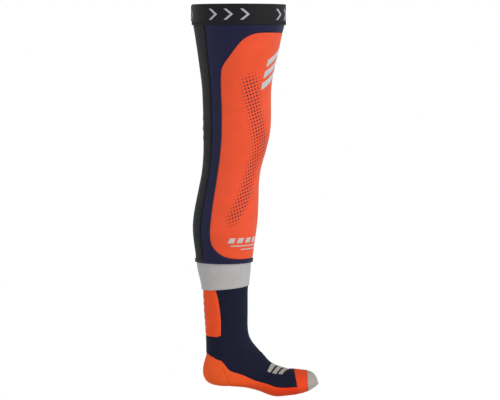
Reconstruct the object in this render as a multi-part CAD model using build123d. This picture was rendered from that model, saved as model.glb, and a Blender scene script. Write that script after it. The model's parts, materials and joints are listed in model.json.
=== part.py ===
"""A full-length brace sock for one leg: an elastic thigh band, a cut-and-sewn knee sleeve and a knitted
sock, in the shape that they have on a leg. Millimetres, +X to the toes, +Y to the wearer's left, +Z up.
The origin is the centre of the thigh band. The knee and the ankle bend about axes along Y, so each panel
that crosses a bend is split into a part above it, a part that deforms and a part below it."""

from build123d import *
from math import cos, hypot, pi, sin
from typing import NamedTuple
import os

# --- lengths down the leg, each from the one before it ---
BAND_HEIGHT = 40.0
THIGH_LENGTH = 206.0  # lower edge of the thigh band to the knee's axis
KNEE_TO_CALF = 190.0  # knee's axis to the fullest place of the calf
CALF_TO_HEM = 61.0
CUFF_LENGTH = 59.0  # cuff that shows below the sleeve's hem
SHAFT_LENGTH = 113.0  # lower edge of the cuff to the ankle's axis
ANKLE_HEIGHT = 76.0  # ankle's axis to the underside of the heel
BALL_DROP = 21.0  # the ball of the foot is this much lower than the heel
FOOT_LENGTH = 228.0

# --- sizes across the leg, outside the fabric ---
BAND_RADIUS = 91.3
THIGH_DEPTH, THIGH_WIDTH = 160.0, 157.0
LOWER_THIGH_DEPTH, LOWER_THIGH_WIDTH = 136.0, 131.0
KNEE_DEPTH, KNEE_WIDTH = 132.5, 119.0
KNEECAP_DEPTH, KNEECAP_WIDTH = 127.2, 116.0  # just below the knee's axis
SHIN_TOP_DEPTH, SHIN_TOP_WIDTH = 115.0, 111.0
CALF_DEPTH, CALF_WIDTH = 125.5, 116.0
HEM_DEPTH, HEM_WIDTH = 111.0, 102.0
CUFF_END_DEPTH, CUFF_END_WIDTH = 88.0, 79.0
SHAFT_DEPTH, SHAFT_WIDTH = 83.0, 70.0
ANKLE_WIDTH = 71.0
HEEL_WIDTH = 66.0
HEEL_PROUD = 5.0  # the heel stands this far behind the shaft
MIDFOOT_WIDTH = 80.0
BALL_WIDTH = 93.0
BALL_THICKNESS = 52.0  # top of the toes to the sole, at the ball
INSTEP_HEIGHT = 32.0  # top of the toes to the bend at the front of the ankle

# --- how far each place's middle lies from the band's axis, along X ---
THIGH_SHIFT = -2.0
LOWER_THIGH_SHIFT = -4.4
KNEE_SHIFT = -3.5
KNEECAP_SHIFT = -5.7
SHIN_TOP_SHIFT = -14.5
CALF_SHIFT = -28.0
HEM_SHIFT = -29.5
SHAFT_SHIFT = -24.5
ANKLE_AXIS_SHIFT = -25.5

# --- fabrics ---
BAND_WALL = 2.0
GRIP_HEIGHT, GRIP_WALL = 20.0, 0.8
PATCH_WIDTH, PATCH_WALL, PATCH_MARGIN = 18.0, 1.2, 2.0  # over the join at the back of the band
SLEEVE_WALL = 1.8
KNIT_WALL = 2.0
CUSHION_WALL = 3.2  # terry-lined heel, sole, toe and calf pad
TRANSFER_WALL = 0.5  # heat-sealed emblem
SEAM_WIDTH, SEAM_PROUD = 4.0, 0.7
STITCH_WIDTH, STITCH_PROUD = 2.4, 0.5
LAYER_GAP = 0.3  # between two layers of fabric
GRIP_GAP = 2.0  # the grip tape to the sleeve's upper edge
CUFF_GAP = 1.45  # the cuff to the inside of the sleeve's hem
BAND_TUCK = 8.0  # sleeve behind the band
CUFF_TUCK = 24.0  # cuff inside the sleeve
HEM_TILT = 4.0  # the hem is this much lower in front than behind
CUFF_RISE = 8.0  # the cuff's lower edge is this much higher in front than behind
TOE_CAP_LENGTH, TOE_BAND_LENGTH = 24.7, 24.0  # along the top of the toes
TOE_CAP_LEAN, TOE_BAND_LEAN = 0.05, 0.2  # how far their rear edges slope forward on the way down

# --- panels, as shares of the sleeve's depth from the back of the leg ---
BACK_PANEL_SHARE = 0.122
FRONT_PANEL_SHARE = 0.28
PANEL_TOP_MARGIN = 15.0  # below the thigh band
PANEL_TOP_CORNER = 77.0
PANEL_END_MARGIN = 9.0  # above the hem
PANEL_END_CORNER = 44.0
CALF_PAD_DEPTH = 32.0
CALF_PAD_LENGTH = 90.0
CALF_PAD_CORNER = 8.0

# --- bends ---
KNEE_ZONE = 100.0  # the sleeve deforms this far above and below the knee's axis
ANKLE_ZONE_ABOVE = 25.0
ANKLE_ZONE_BELOW = 11.0
ANKLE_ZONE_SLOPE = 0.32  # the shaft's lower edge rises this much per millimetre towards the front

# --- emblem on the thigh: stacked chevrons ---
CHEVRONS = 3
CHEVRON_WIDTH, CHEVRON_THICKNESS, CHEVRON_PITCH, CHEVRON_RISE = 92.0, 14.0, 22.0, 30.0
EMBLEM_DROP = 22.0  # the front panel's upper edge to the top chevron's peak

# --- levels and fits, worked out ---
BAND_TOP, BAND_END = BAND_HEIGHT / 2, -BAND_HEIGHT / 2
KNEE_Z = BAND_END - THIGH_LENGTH
CALF_Z = KNEE_Z - KNEE_TO_CALF
HEM_Z = CALF_Z - CALF_TO_HEM
CUFF_END_Z = HEM_Z - CUFF_LENGTH
ANKLE_Z = CUFF_END_Z - SHAFT_LENGTH
HEEL_Z = ANKLE_Z - ANKLE_HEIGHT
BALL_Z = HEEL_Z - BALL_DROP
TOE_TOP_Z = BALL_Z + BALL_THICKNESS
HEEL_X = SHAFT_SHIFT - SHAFT_DEPTH / 2 - HEEL_PROUD
TOE_X = HEEL_X + FOOT_LENGTH
KNEE_TOP_Z, KNEE_END_Z = KNEE_Z + KNEE_ZONE, KNEE_Z - KNEE_ZONE
SHAFT_END_Z = ANKLE_Z + ANKLE_ZONE_ABOVE  # at the ankle's axis
FOOT_TOP_Z = ANKLE_Z - ANKLE_ZONE_BELOW
SLEEVE_TOP_Z = BAND_END + BAND_TUCK
GRIP_END_Z = SLEEVE_TOP_Z + GRIP_GAP
CUFF_TOP_DEPTH = HEM_DEPTH - 2 * (SLEEVE_WALL + CUFF_GAP)
CUFF_TOP_WIDTH = HEM_WIDTH - 2 * (SLEEVE_WALL + CUFF_GAP)
PANEL_TOP_Z = BAND_END - PANEL_TOP_MARGIN
PANEL_END_Z = HEM_Z - HEM_TILT + PANEL_END_MARGIN

FAR = 400.0  # half the size of a cutting block, past every part of the leg
OUTLINE_POINTS = 24


class Section(NamedTuple):
    """One closed outline of a tube, in a plane along Y. front and back are its (x, z) ends, and belly is how
    far its widest place sits towards the back end."""

    front: tuple
    back: tuple
    width: float
    belly: float = 0.0


def between(a, b, share):
    return a + (b - a) * share


def level(z, upper, lower=None, share=0.0):
    """A horizontal section whose (shift, depth, width) lies between those of the places above and below."""
    shift, depth, width = (between(a, b, share) for a, b in zip(upper, lower or upper))
    return Section((shift + depth / 2, z), (shift - depth / 2, z), width)


# --- the tubes: the sewn sleeve, and the knitted sock's shaft and foot ---
def sleeve_sections():
    inside_band = 2 * (BAND_RADIUS - BAND_WALL - LAYER_GAP)
    tuck = (0.0, inside_band, inside_band)
    thigh = (THIGH_SHIFT, THIGH_DEPTH, THIGH_WIDTH)
    lower_thigh = (LOWER_THIGH_SHIFT, LOWER_THIGH_DEPTH, LOWER_THIGH_WIDTH)
    knee = (KNEE_SHIFT, KNEE_DEPTH, KNEE_WIDTH)
    kneecap = (KNEECAP_SHIFT, KNEECAP_DEPTH, KNEECAP_WIDTH)
    shin_top = (SHIN_TOP_SHIFT, SHIN_TOP_DEPTH, SHIN_TOP_WIDTH)
    calf = (CALF_SHIFT, CALF_DEPTH, CALF_WIDTH)
    hem = (HEM_SHIFT, HEM_DEPTH, HEM_WIDTH)
    return [
        level(SLEEVE_TOP_Z, tuck),
        level(BAND_END, tuck, thigh, 0.04),
        level(between(BAND_END, KNEE_Z, 0.05), tuck, thigh, 0.28),
        level(between(BAND_END, KNEE_Z, 0.22), thigh),
        level(between(BAND_END, KNEE_Z, 0.57), lower_thigh),
        level(between(BAND_END, KNEE_Z, 0.90), knee),
        level(between(KNEE_Z, CALF_Z, 0.09), kneecap),
        level(between(KNEE_Z, CALF_Z, 0.38), shin_top),
        level(between(KNEE_Z, CALF_Z, 0.68), shin_top, calf, 0.56),
        level(CALF_Z, calf),
        level(between(CALF_Z, HEM_Z, 0.58), calf, hem, 0.62),
        level(HEM_Z - HEM_TILT, hem),
    ]


def sock_sections():
    """The sections of the shaft, with the cuff, and of the foot. Both hold the ones that turn about the front
    of the ankle, so that they have the same surface there."""
    cuff_top = (HEM_SHIFT, CUFF_TOP_DEPTH, CUFF_TOP_WIDTH)
    cuff_end = (between(HEM_SHIFT, SHAFT_SHIFT, 0.6), CUFF_END_DEPTH, CUFF_END_WIDTH)
    shaft_size = (SHAFT_SHIFT, SHAFT_DEPTH, SHAFT_WIDTH)
    shaft = [
        level(HEM_Z + CUFF_TUCK, cuff_top, cuff_end, 0.05),
        level(HEM_Z + CUFF_TUCK * 0.4, cuff_top, cuff_end, 0.03),
        level(HEM_Z - 10.0, cuff_top, cuff_end, 0.04),
        level(between(HEM_Z, CUFF_END_Z, 0.85), cuff_top, cuff_end, 0.88),
        level(between(CUFF_END_Z, ANKLE_Z, 0.22), cuff_end, shaft_size, 0.5),
        level(between(CUFF_END_Z, ANKLE_Z, 0.52), shaft_size),
        level(between(CUFF_END_Z, ANKLE_Z, 0.73), (SHAFT_SHIFT + 1.0, SHAFT_DEPTH, SHAFT_WIDTH)),
    ]
    shaft_front, shaft_back = SHAFT_SHIFT + SHAFT_DEPTH / 2, SHAFT_SHIFT - SHAFT_DEPTH / 2
    ankle = [between(ANKLE_WIDTH, HEEL_WIDTH, share) for share in (0.0, 0.3, 0.7, 1.0)]
    heel_z = between(ANKLE_Z, HEEL_Z, 0.66)
    turn = [
        Section((shaft_front + 7.0, ANKLE_Z + 13.0), (shaft_back + 1.5, ANKLE_Z + 4.0), ankle[0], 0.05),
        Section((shaft_front + 20.0, ANKLE_Z - 4.0), (shaft_back, ANKLE_Z - 23.0), ankle[1], 0.10),
        Section((shaft_front + 35.0, ANKLE_Z - 20.0), (HEEL_X + 0.5, heel_z), ankle[2], 0.12),
        Section((shaft_front + 48.0, ANKLE_Z - 32.5), (HEEL_X + 10.0, HEEL_Z + 6.0), ankle[3], 0.12),
    ]

    def top(run, rise):
        """A place along the foot in front of the shaft, above the top of the toes."""
        return (between(shaft_front, TOE_X, run), TOE_TOP_Z + INSTEP_HEIGHT * rise)

    def sole(share, drop):
        """A place along the foot, between the level of the heel and that of the ball."""
        return (between(HEEL_X, TOE_X, share), between(HEEL_Z, BALL_Z, drop))

    foot = [
        Section(top(0.45, 0.17), sole(0.165, 0.05), between(HEEL_WIDTH, MIDFOOT_WIDTH, 0.35), 0.15),
        Section(top(0.53, 0.06), sole(0.33, 0.12), MIDFOOT_WIDTH, 0.20),
        Section(top(0.61, 0.02), sole(0.50, 0.56), between(MIDFOOT_WIDTH, BALL_WIDTH, 0.7), 0.20),
        Section(top(0.69, 0.00), sole(0.64, 1.00), BALL_WIDTH, 0.16),
        Section(top(0.80, -0.06), sole(0.77, 0.88), BALL_WIDTH * 0.95, 0.10),
        Section(top(0.885, -0.15), sole(0.875, 0.66), BALL_WIDTH * 0.84, 0.06),
        Section(top(0.94, -0.32), sole(0.93, 0.40), BALL_WIDTH * 0.66, 0.0),
        Section(top(0.975, -0.58), sole(0.97, 0.12), BALL_WIDTH * 0.42, 0.0),
    ]
    return shaft + turn, turn + foot


def outline(section, inset):
    """The section's closed curve, taken in by inset all round."""
    (fx, fz), (bx, bz) = section.front, section.back
    half = hypot(fx - bx, fz - bz) / 2
    along = ((fx - bx) / 2 / half, (fz - bz) / 2 / half)
    middle = ((fx + bx) / 2, (fz + bz) / 2)
    points = []
    for i in range(OUTLINE_POINTS):
        turn = 2 * pi * i / OUTLINE_POINTS
        reach = (half - inset) * cos(turn)
        side = (section.width / 2 - inset) * sin(turn) * (1 - section.belly * cos(turn))
        points.append((middle[0] + along[0] * reach, side, middle[1] + along[1] * reach))
    return Wire([Edge.make_spline([Vector(*p) for p in points], periodic=True)])


def tube(sections, inset=0.0):
    return Solid.make_loft([outline(s, inset) for s in sections])


def foot_tube(sections, inset=0.0):
    """The foot's solid, which ends in a point at the tip of the toes."""
    last = sections[-1]
    tip = Vertex(TOE_X - inset, 0.0, (last.front[1] + last.back[1]) / 2)
    return Solid.make_loft([*(outline(s, inset) for s in sections), tip])


def edges_at(sections, z):
    """The (back, front) places of a tube of horizontal sections at a level."""
    for upper, lower in zip(sections, sections[1:]):
        if lower.front[1] <= z <= upper.front[1]:
            share = (upper.front[1] - z) / (upper.front[1] - lower.front[1])
            ends = ((upper.back[0], lower.back[0]), (upper.front[0], lower.front[0]))
            return tuple(between(a, b, share) for a, b in ends)
    raise ValueError(f"no section near z = {z}")


def share_at(sections, z, share):
    """The point on the side view at a share of the depth from the back."""
    back, front = edges_at(sections, z)
    return (between(back, front, share), z)


def side_block(outline_wire):
    """A closed side view, a wire of edges in the XZ plane, extruded through the leg along Y."""
    return extrude(Face(outline_wire), amount=FAR, dir=(0, 1, 0), both=True)


def flat(points):
    return [Vector(x, 0, z) for x, z in points]


def smooth_region(curve, corners):
    """A region bounded by a smooth curve through points and then by straight lines through corners."""
    around = flat([curve[-1], *corners, curve[0]])
    lines = [Edge.make_line(a, b) for a, b in zip(around, around[1:])]
    return side_block(Wire([Edge.make_spline(flat(curve)), *lines]))


def polygon(points):
    around = flat([*points, points[0]])
    return side_block(Wire([Edge.make_line(a, b) for a, b in zip(around, around[1:])]))


def slab(top, bottom):
    return polygon([(-FAR, top), (FAR, top), (FAR, bottom), (-FAR, bottom)])


# --- regions of the side view ---
def back_panel_region(sections, offset=0.0):
    """Everything behind the back seam, moved forward by offset."""
    top, end = sections[0].front[1], sections[-1].front[1]
    levels = [between(top, end, i / 9) for i in range(10)]
    curve = [(share_at(sections, z, BACK_PANEL_SHARE)[0] + offset, z) for z in levels]
    curve = [(curve[0][0], top + 20.0), *curve[1:-1], (curve[-1][0], end - 20.0)]
    return smooth_region(curve, [(-FAR, end - 20.0), (-FAR, top + 20.0)])


def front_panel_region(sections):
    """The coloured front panel: an edge that follows the leg, with a long slanting corner at the top and a
    round one at the bottom."""
    side_top, side_end = PANEL_TOP_Z - PANEL_TOP_CORNER, PANEL_END_Z + PANEL_END_CORNER

    def edge(z, share):
        return share_at(sections, z, share)

    top_corner = [
        edge(PANEL_TOP_Z, 0.95),
        edge(PANEL_TOP_Z, 0.80),
        edge(PANEL_TOP_Z - PANEL_TOP_CORNER * 0.024, 0.69),
        edge(PANEL_TOP_Z - PANEL_TOP_CORNER * 0.12, 0.59),
        edge(PANEL_TOP_Z - PANEL_TOP_CORNER * 0.243, 0.524),
        edge(PANEL_TOP_Z - PANEL_TOP_CORNER * 0.413, 0.46),
        edge(PANEL_TOP_Z - PANEL_TOP_CORNER * 0.584, 0.40),
        edge(PANEL_TOP_Z - PANEL_TOP_CORNER * 0.76, 0.335),
        edge(PANEL_TOP_Z - PANEL_TOP_CORNER * 0.88, 0.303),
        edge(side_top, FRONT_PANEL_SHARE + 0.01),
    ]
    side = [edge(between(side_top, side_end, i / 5), FRONT_PANEL_SHARE) for i in range(1, 6)]
    end_corner = [
        edge(PANEL_END_Z + PANEL_END_CORNER * 0.60, FRONT_PANEL_SHARE + 0.03),
        edge(PANEL_END_Z + PANEL_END_CORNER * 0.27, FRONT_PANEL_SHARE + 0.135),
        edge(PANEL_END_Z + PANEL_END_CORNER * 0.08, FRONT_PANEL_SHARE + 0.29),
        edge(PANEL_END_Z, FRONT_PANEL_SHARE + 0.52),
        edge(PANEL_END_Z, 0.95),
    ]
    return smooth_region([*top_corner, *side, *end_corner], [(FAR, PANEL_END_Z), (FAR, PANEL_TOP_Z)])


def above_slope(x, z, slope):
    """Everything above a straight line through a place, which rises by slope towards the front."""
    back, front = z - (FAR + x) * slope, z + (FAR - x) * slope
    return polygon([(-FAR, back), (-FAR, BAND_TOP + 20.0), (FAR, BAND_TOP + 20.0), (FAR, front)])


def hem_region(rise=0.0):
    """Everything above the hem, moved up by rise. The hem is highest behind."""
    return above_slope(HEM_SHIFT - HEM_DEPTH / 2, HEM_Z + rise, -HEM_TILT / HEM_DEPTH)


def cuff_region():
    """Everything above the cuff's lower edge, which is lowest behind."""
    return above_slope(SHAFT_SHIFT - CUFF_END_DEPTH / 2, CUFF_END_Z, CUFF_RISE / CUFF_END_DEPTH)


def shaft_region():
    """Everything above the ankle's deforming zone."""
    return above_slope(ANKLE_AXIS_SHIFT, SHAFT_END_Z, ANKLE_ZONE_SLOPE)


def calf_pad_region():
    """The cushioned pad at the back of the shaft, with a round lower corner."""
    front = SHAFT_SHIFT - CUFF_END_DEPTH / 2 + CALF_PAD_DEPTH
    top, end = CUFF_END_Z + CUFF_RISE + 10.0, CUFF_END_Z - CALF_PAD_LENGTH
    curve = [
        (front - 10.0, top),
        (front - 6.0, CUFF_END_Z - CALF_PAD_LENGTH * 0.15),
        (front - 1.2, CUFF_END_Z - CALF_PAD_LENGTH * 0.5),
        (front, end + CALF_PAD_CORNER),
        (front - CALF_PAD_CORNER * 0.3, end + CALF_PAD_CORNER * 0.3),
        (front - CALF_PAD_CORNER, end),
    ]
    return smooth_region(curve, [(-FAR, end), (-FAR, top)])


def along_foot(share, z):
    return (between(HEEL_X, TOE_X, share), z)


def heel_corner():
    """Where the heel, the sole and the instep meet on the side of the foot."""
    return along_foot(0.161, between(ANKLE_Z, HEEL_Z, 0.30))


def cushion_region():
    """Heel and sole: below a line from the back of the ankle, down round the heel and along the foot."""
    sole_end = along_foot(0.817, between(ANKLE_Z, HEEL_Z, 0.94))
    sole_edge = [
        heel_corner(),
        along_foot(0.20, between(ANKLE_Z, HEEL_Z, 0.445)),
        along_foot(0.286, between(ANKLE_Z, HEEL_Z, 0.61)),
        along_foot(0.406, between(ANKLE_Z, HEEL_Z, 0.74)),
        along_foot(0.578, between(ANKLE_Z, HEEL_Z, 0.89)),
        along_foot(0.724, between(ANKLE_Z, HEEL_Z, 0.955)),
        sole_end,
    ]
    below = [(FAR, sole_end[1]), (FAR, -3 * FAR), (-FAR, -3 * FAR), (-FAR, FOOT_TOP_Z)]
    heel_edge = [
        along_foot(0.03, FOOT_TOP_Z),
        along_foot(0.085, FOOT_TOP_Z - 6.0),
        along_foot(0.114, FOOT_TOP_Z - 9.4),
    ]
    return smooth_region(sole_edge, [*below, *heel_edge])


def heel_region():
    """Everything behind the join of heel and sole."""
    above = FOOT_TOP_Z + 1.0
    corner, lower = heel_corner(), along_foot(0.235, HEEL_Z - 10.0)
    behind = [(-FAR, above), (corner[0], above), corner, lower]
    return polygon([*behind, (lower[0], -3 * FAR), (-FAR, -3 * FAR)])


def toe_region(length, lean):
    """Everything in front of a line across the toes, length behind their tip at the top of the toes."""
    x, below = TOE_X - length, BALL_Z - BALL_THICKNESS
    top, end = (x - (FOOT_TOP_Z - TOE_TOP_Z) * lean, FOOT_TOP_Z), (x + (TOE_TOP_Z - below) * lean, below)
    return polygon([top, (FAR, FOOT_TOP_Z), (FAR, below), end])


# --- pieces ---
def ring(radius, wall, top, bottom):
    """An upright ring whose outer radius and wall are given."""
    outer = Solid.make_cylinder(radius, top - bottom, Plane((0, 0, bottom)))
    return outer - Solid.make_cylinder(radius - wall, top - bottom, Plane((0, 0, bottom)))


def band_pieces():
    """The elastic band, its silicone grip, the patch over its join and the rows that sew the sleeve to it."""
    rows = [BAND_END + STITCH_WIDTH * share for share in (0.5, 2.1)]
    stitches = [
        ring(BAND_RADIUS + STITCH_PROUD, STITCH_PROUD, z + STITCH_WIDTH / 2, z)
        for z in rows
    ]
    patch = ring(BAND_RADIUS + PATCH_WALL, PATCH_WALL, BAND_TOP, rows[-1] + STITCH_WIDTH)
    patch_block = Box(BAND_RADIUS, PATCH_WIDTH, BAND_HEIGHT - 2 * PATCH_MARGIN)
    return {
        "thigh_band": ring(BAND_RADIUS, BAND_WALL, BAND_TOP, BAND_END),
        "grip_tape": ring(BAND_RADIUS - BAND_WALL, GRIP_WALL, GRIP_END_Z + GRIP_HEIGHT, GRIP_END_Z),
        "band_join_patch": patch & patch_block.moved(Location((-BAND_RADIUS, 0, 0))),
        "band_stitching": Compound(children=stitches),
    }


def by_bend(name, solid):
    """A sleeve piece cut into its thigh, knee and calf parts."""
    zones = {
        "thigh": slab(BAND_TOP, KNEE_TOP_Z),
        "knee": slab(KNEE_TOP_Z, KNEE_END_Z),
        "calf": slab(KNEE_END_Z, BALL_Z),
    }
    return {f"{name}_{zone}": solid & block for zone, block in zones.items()}


def skin(sections, proud):
    """A layer that lies on a tube."""
    return tube(sections, -proud) - tube(sections)


def sleeve_pieces():
    sections = sleeve_sections()
    shell = (tube(sections) - tube(sections, SLEEVE_WALL)) & hem_region()
    seams = skin(sections, SEAM_PROUD) & hem_region(2 * STITCH_WIDTH) & slab(BAND_END - 0.5, BALL_Z)
    back, front = back_panel_region(sections), front_panel_region(sections)
    seam_zone = back_panel_region(sections, SEAM_WIDTH / 2) - back_panel_region(sections, -SEAM_WIDTH / 2)
    pieces = by_bend("front_panel", shell & front)
    pieces |= by_bend("side_panel", shell - back - front)
    pieces |= by_bend("back_mesh", shell & back)
    pieces |= by_bend("back_seam", seams & seam_zone)
    return pieces


def chevron(peak):
    """A chevron with its point up, extruded forward from the middle of the leg."""
    half, low = CHEVRON_WIDTH / 2, peak - CHEVRON_RISE
    upper = [(-half, low), (0, peak), (half, low)]
    lower = [(y, z - CHEVRON_THICKNESS) for y, z in reversed(upper)]
    around = [Vector(0, y, z) for y, z in [*upper, *lower, upper[0]]]
    face = Face(Wire([Edge.make_line(a, b) for a, b in zip(around, around[1:])]))
    return extrude(face, amount=FAR, dir=(1, 0, 0))


def emblem():
    """Stacked chevrons on the front of the thigh, sealed to the panel."""
    layer = skin(sleeve_sections(), TRANSFER_WALL)
    peaks = [PANEL_TOP_Z - EMBLEM_DROP - i * CHEVRON_PITCH for i in range(CHEVRONS)]
    return Compound(children=[s for peak in peaks for s in (layer & chevron(peak)).solids()])


def shaft_pieces():
    sections = sock_sections()[0]
    leg = tube(sections)
    knit, padding = leg - tube(sections, KNIT_WALL), tube(sections, CUSHION_WALL)
    cuff, shaft = cuff_region(), shaft_region()
    pad_zone = (calf_pad_region() & shaft) - cuff
    below_cuff = knit - cuff
    return {
        "cuff": knit & cuff,
        "shaft_knit": (below_cuff & shaft) - pad_zone,
        "calf_pad": (leg & pad_zone) - padding,
        "ankle_knit": (below_cuff - shaft) & slab(SHAFT_END_Z + FAR * ANKLE_ZONE_SLOPE, FOOT_TOP_Z),
    }


def foot_pieces():
    sections = sock_sections()[1]
    foot = foot_tube(sections) & slab(FOOT_TOP_Z, BALL_Z - BALL_THICKNESS)
    knit = foot - foot_tube(sections, KNIT_WALL)
    cushion = foot - foot_tube(sections, CUSHION_WALL)
    soles, heel = cushion_region(), heel_region()
    cap = toe_region(TOE_CAP_LENGTH, TOE_CAP_LEAN)
    toes = toe_region(TOE_CAP_LENGTH + TOE_BAND_LENGTH, TOE_BAND_LEAN)
    return {
        "instep_knit": knit - soles - toes,
        "heel_cup": cushion & soles & heel,
        "sole_cushion": (cushion & soles) - heel - toes,
        "toe_band": (cushion & toes) - cap,
        "toe_cap": cushion & cap,
    }


def stitched_rings():
    """Raised lines of stitching where one knitted or sewn piece ends."""
    foot = sock_sections()[1]
    before, after = TOE_CAP_LENGTH + STITCH_WIDTH / 2, TOE_CAP_LENGTH - STITCH_WIDTH / 2
    toe_edge = toe_region(before, TOE_CAP_LEAN) - toe_region(after, TOE_CAP_LEAN)
    hem_edge = hem_region(STITCH_WIDTH) - hem_region(2 * STITCH_WIDTH)
    return {
        "hem_stitching": skin(sleeve_sections(), STITCH_PROUD) & hem_edge,
        "toe_seam": (foot_tube(foot, -STITCH_PROUD) & toe_edge) - foot_tube(foot),
    }


def main():
    os.makedirs("parts", exist_ok=True)
    pieces = {**band_pieces(), **sleeve_pieces(), "thigh_emblem": emblem()}
    pieces |= {**shaft_pieces(), **foot_pieces(), **stitched_rings()}
    for name, shape in pieces.items():
        solids = shape.solids()
        export_step(solids[0] if len(solids) == 1 else Compound(children=solids), f"parts/{name}.step")
        print(name, len(solids), round(sum(s.volume for s in solids)))


main()
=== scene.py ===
"""Blender scene of a knee brace sock. Metres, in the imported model's frame: +X to the toes, +Y to the
wearer's left, +Z up, and the origin at the middle of the thigh band.

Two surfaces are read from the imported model: the sewn sleeve and the knitted sock. Each is a grid of points,
with rows along the leg and columns round it. Every soft piece is drawn on one of these surfaces or on the
band's, meshed finely, lifted by its relief and closed with an inner layer of its fabric's thickness."""

import json
from math import atan2, cos, pi, radians, sin

import bmesh
import bpy
import numpy as np
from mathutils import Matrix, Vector
from mathutils.bvhtree import BVHTree
from mathutils.geometry import delaunay_2d_cdt


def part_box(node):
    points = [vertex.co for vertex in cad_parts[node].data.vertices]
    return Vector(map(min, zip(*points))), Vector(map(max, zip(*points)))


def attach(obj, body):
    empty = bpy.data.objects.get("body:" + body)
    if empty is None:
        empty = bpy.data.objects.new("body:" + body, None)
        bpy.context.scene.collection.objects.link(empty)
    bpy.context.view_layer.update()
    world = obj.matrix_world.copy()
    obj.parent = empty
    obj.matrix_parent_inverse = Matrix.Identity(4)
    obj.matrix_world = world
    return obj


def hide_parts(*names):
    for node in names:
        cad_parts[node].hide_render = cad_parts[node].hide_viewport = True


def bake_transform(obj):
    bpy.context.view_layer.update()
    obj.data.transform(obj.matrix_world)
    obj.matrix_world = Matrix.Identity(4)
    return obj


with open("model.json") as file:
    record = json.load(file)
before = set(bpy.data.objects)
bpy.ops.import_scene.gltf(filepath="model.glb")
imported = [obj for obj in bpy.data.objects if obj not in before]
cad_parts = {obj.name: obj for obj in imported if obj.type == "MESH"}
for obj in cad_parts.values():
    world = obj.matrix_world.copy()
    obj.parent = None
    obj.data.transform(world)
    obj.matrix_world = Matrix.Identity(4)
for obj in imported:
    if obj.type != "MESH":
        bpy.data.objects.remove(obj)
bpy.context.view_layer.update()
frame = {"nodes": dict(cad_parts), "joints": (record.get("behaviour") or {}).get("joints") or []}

# --- joints and levels, from the frame ---
JOINTS = {joint["name"]: joint for joint in frame["joints"]}
KNEE = Vector(JOINTS["knee_flex"]["pos_m"])
ANKLE = Vector(JOINTS["ankle_flex"]["pos_m"])
BAND_LOW, BAND_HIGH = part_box("thigh_band")
BAND_RADIUS = BAND_HIGH.x
SLEEVE_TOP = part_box("side_panel_thigh")[1].z
PANEL_TOP, PANEL_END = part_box("front_panel_thigh")[1].z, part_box("front_panel_calf")[0].z
HEM_FRONT, HEM_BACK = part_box("side_panel_calf")[0].z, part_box("back_mesh_calf")[0].z
CUFF_LOW, CUFF_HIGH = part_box("cuff")
TOE_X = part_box("toe_cap")[1].x
HEEL_X, HEEL_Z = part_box("heel_cup")[0].x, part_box("heel_cup")[0].z
FOOT_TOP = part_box("instep_knit")[1].z

# --- fabrics ---
SLEEVE_WALL = 0.0016
KNIT_WALL = 0.0018
CUSHION_WALL = 0.0030

FAR = 0.2  # from the middle of a section to where its rays start
AWAY = 0.5  # from the leg's axis to where the level cuts are looked at from
COLUMNS = 96
SLEEVE_CUTS = 116
SHAFT_ROWS, FAN_ROWS, FOOT_ROWS = 51, 30, 26  # the sock's cuts, less the first one


# ---------------------------------------------------------------- surfaces
def tree_of(nodes):
    """One search tree of several CAD nodes' faces."""
    points, faces = [], []
    for name in nodes:
        mesh = frame["nodes"][name].data
        faces += [[len(points) + i for i in face.vertices] for face in mesh.polygons]
        points += [vertex.co.copy() for vertex in mesh.vertices]
    return BVHTree.FromPolygons(points, faces)


def catmull(before, a, b, after, share):
    """A smooth curve through a and b, for arrays."""
    share = share[:, None]
    cubic = 3 * (a - b) + after - before
    square = 2 * before - 5 * a + 4 * b - after
    return a + 0.5 * share * (b - before + share * (square + share * cubic))


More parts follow.
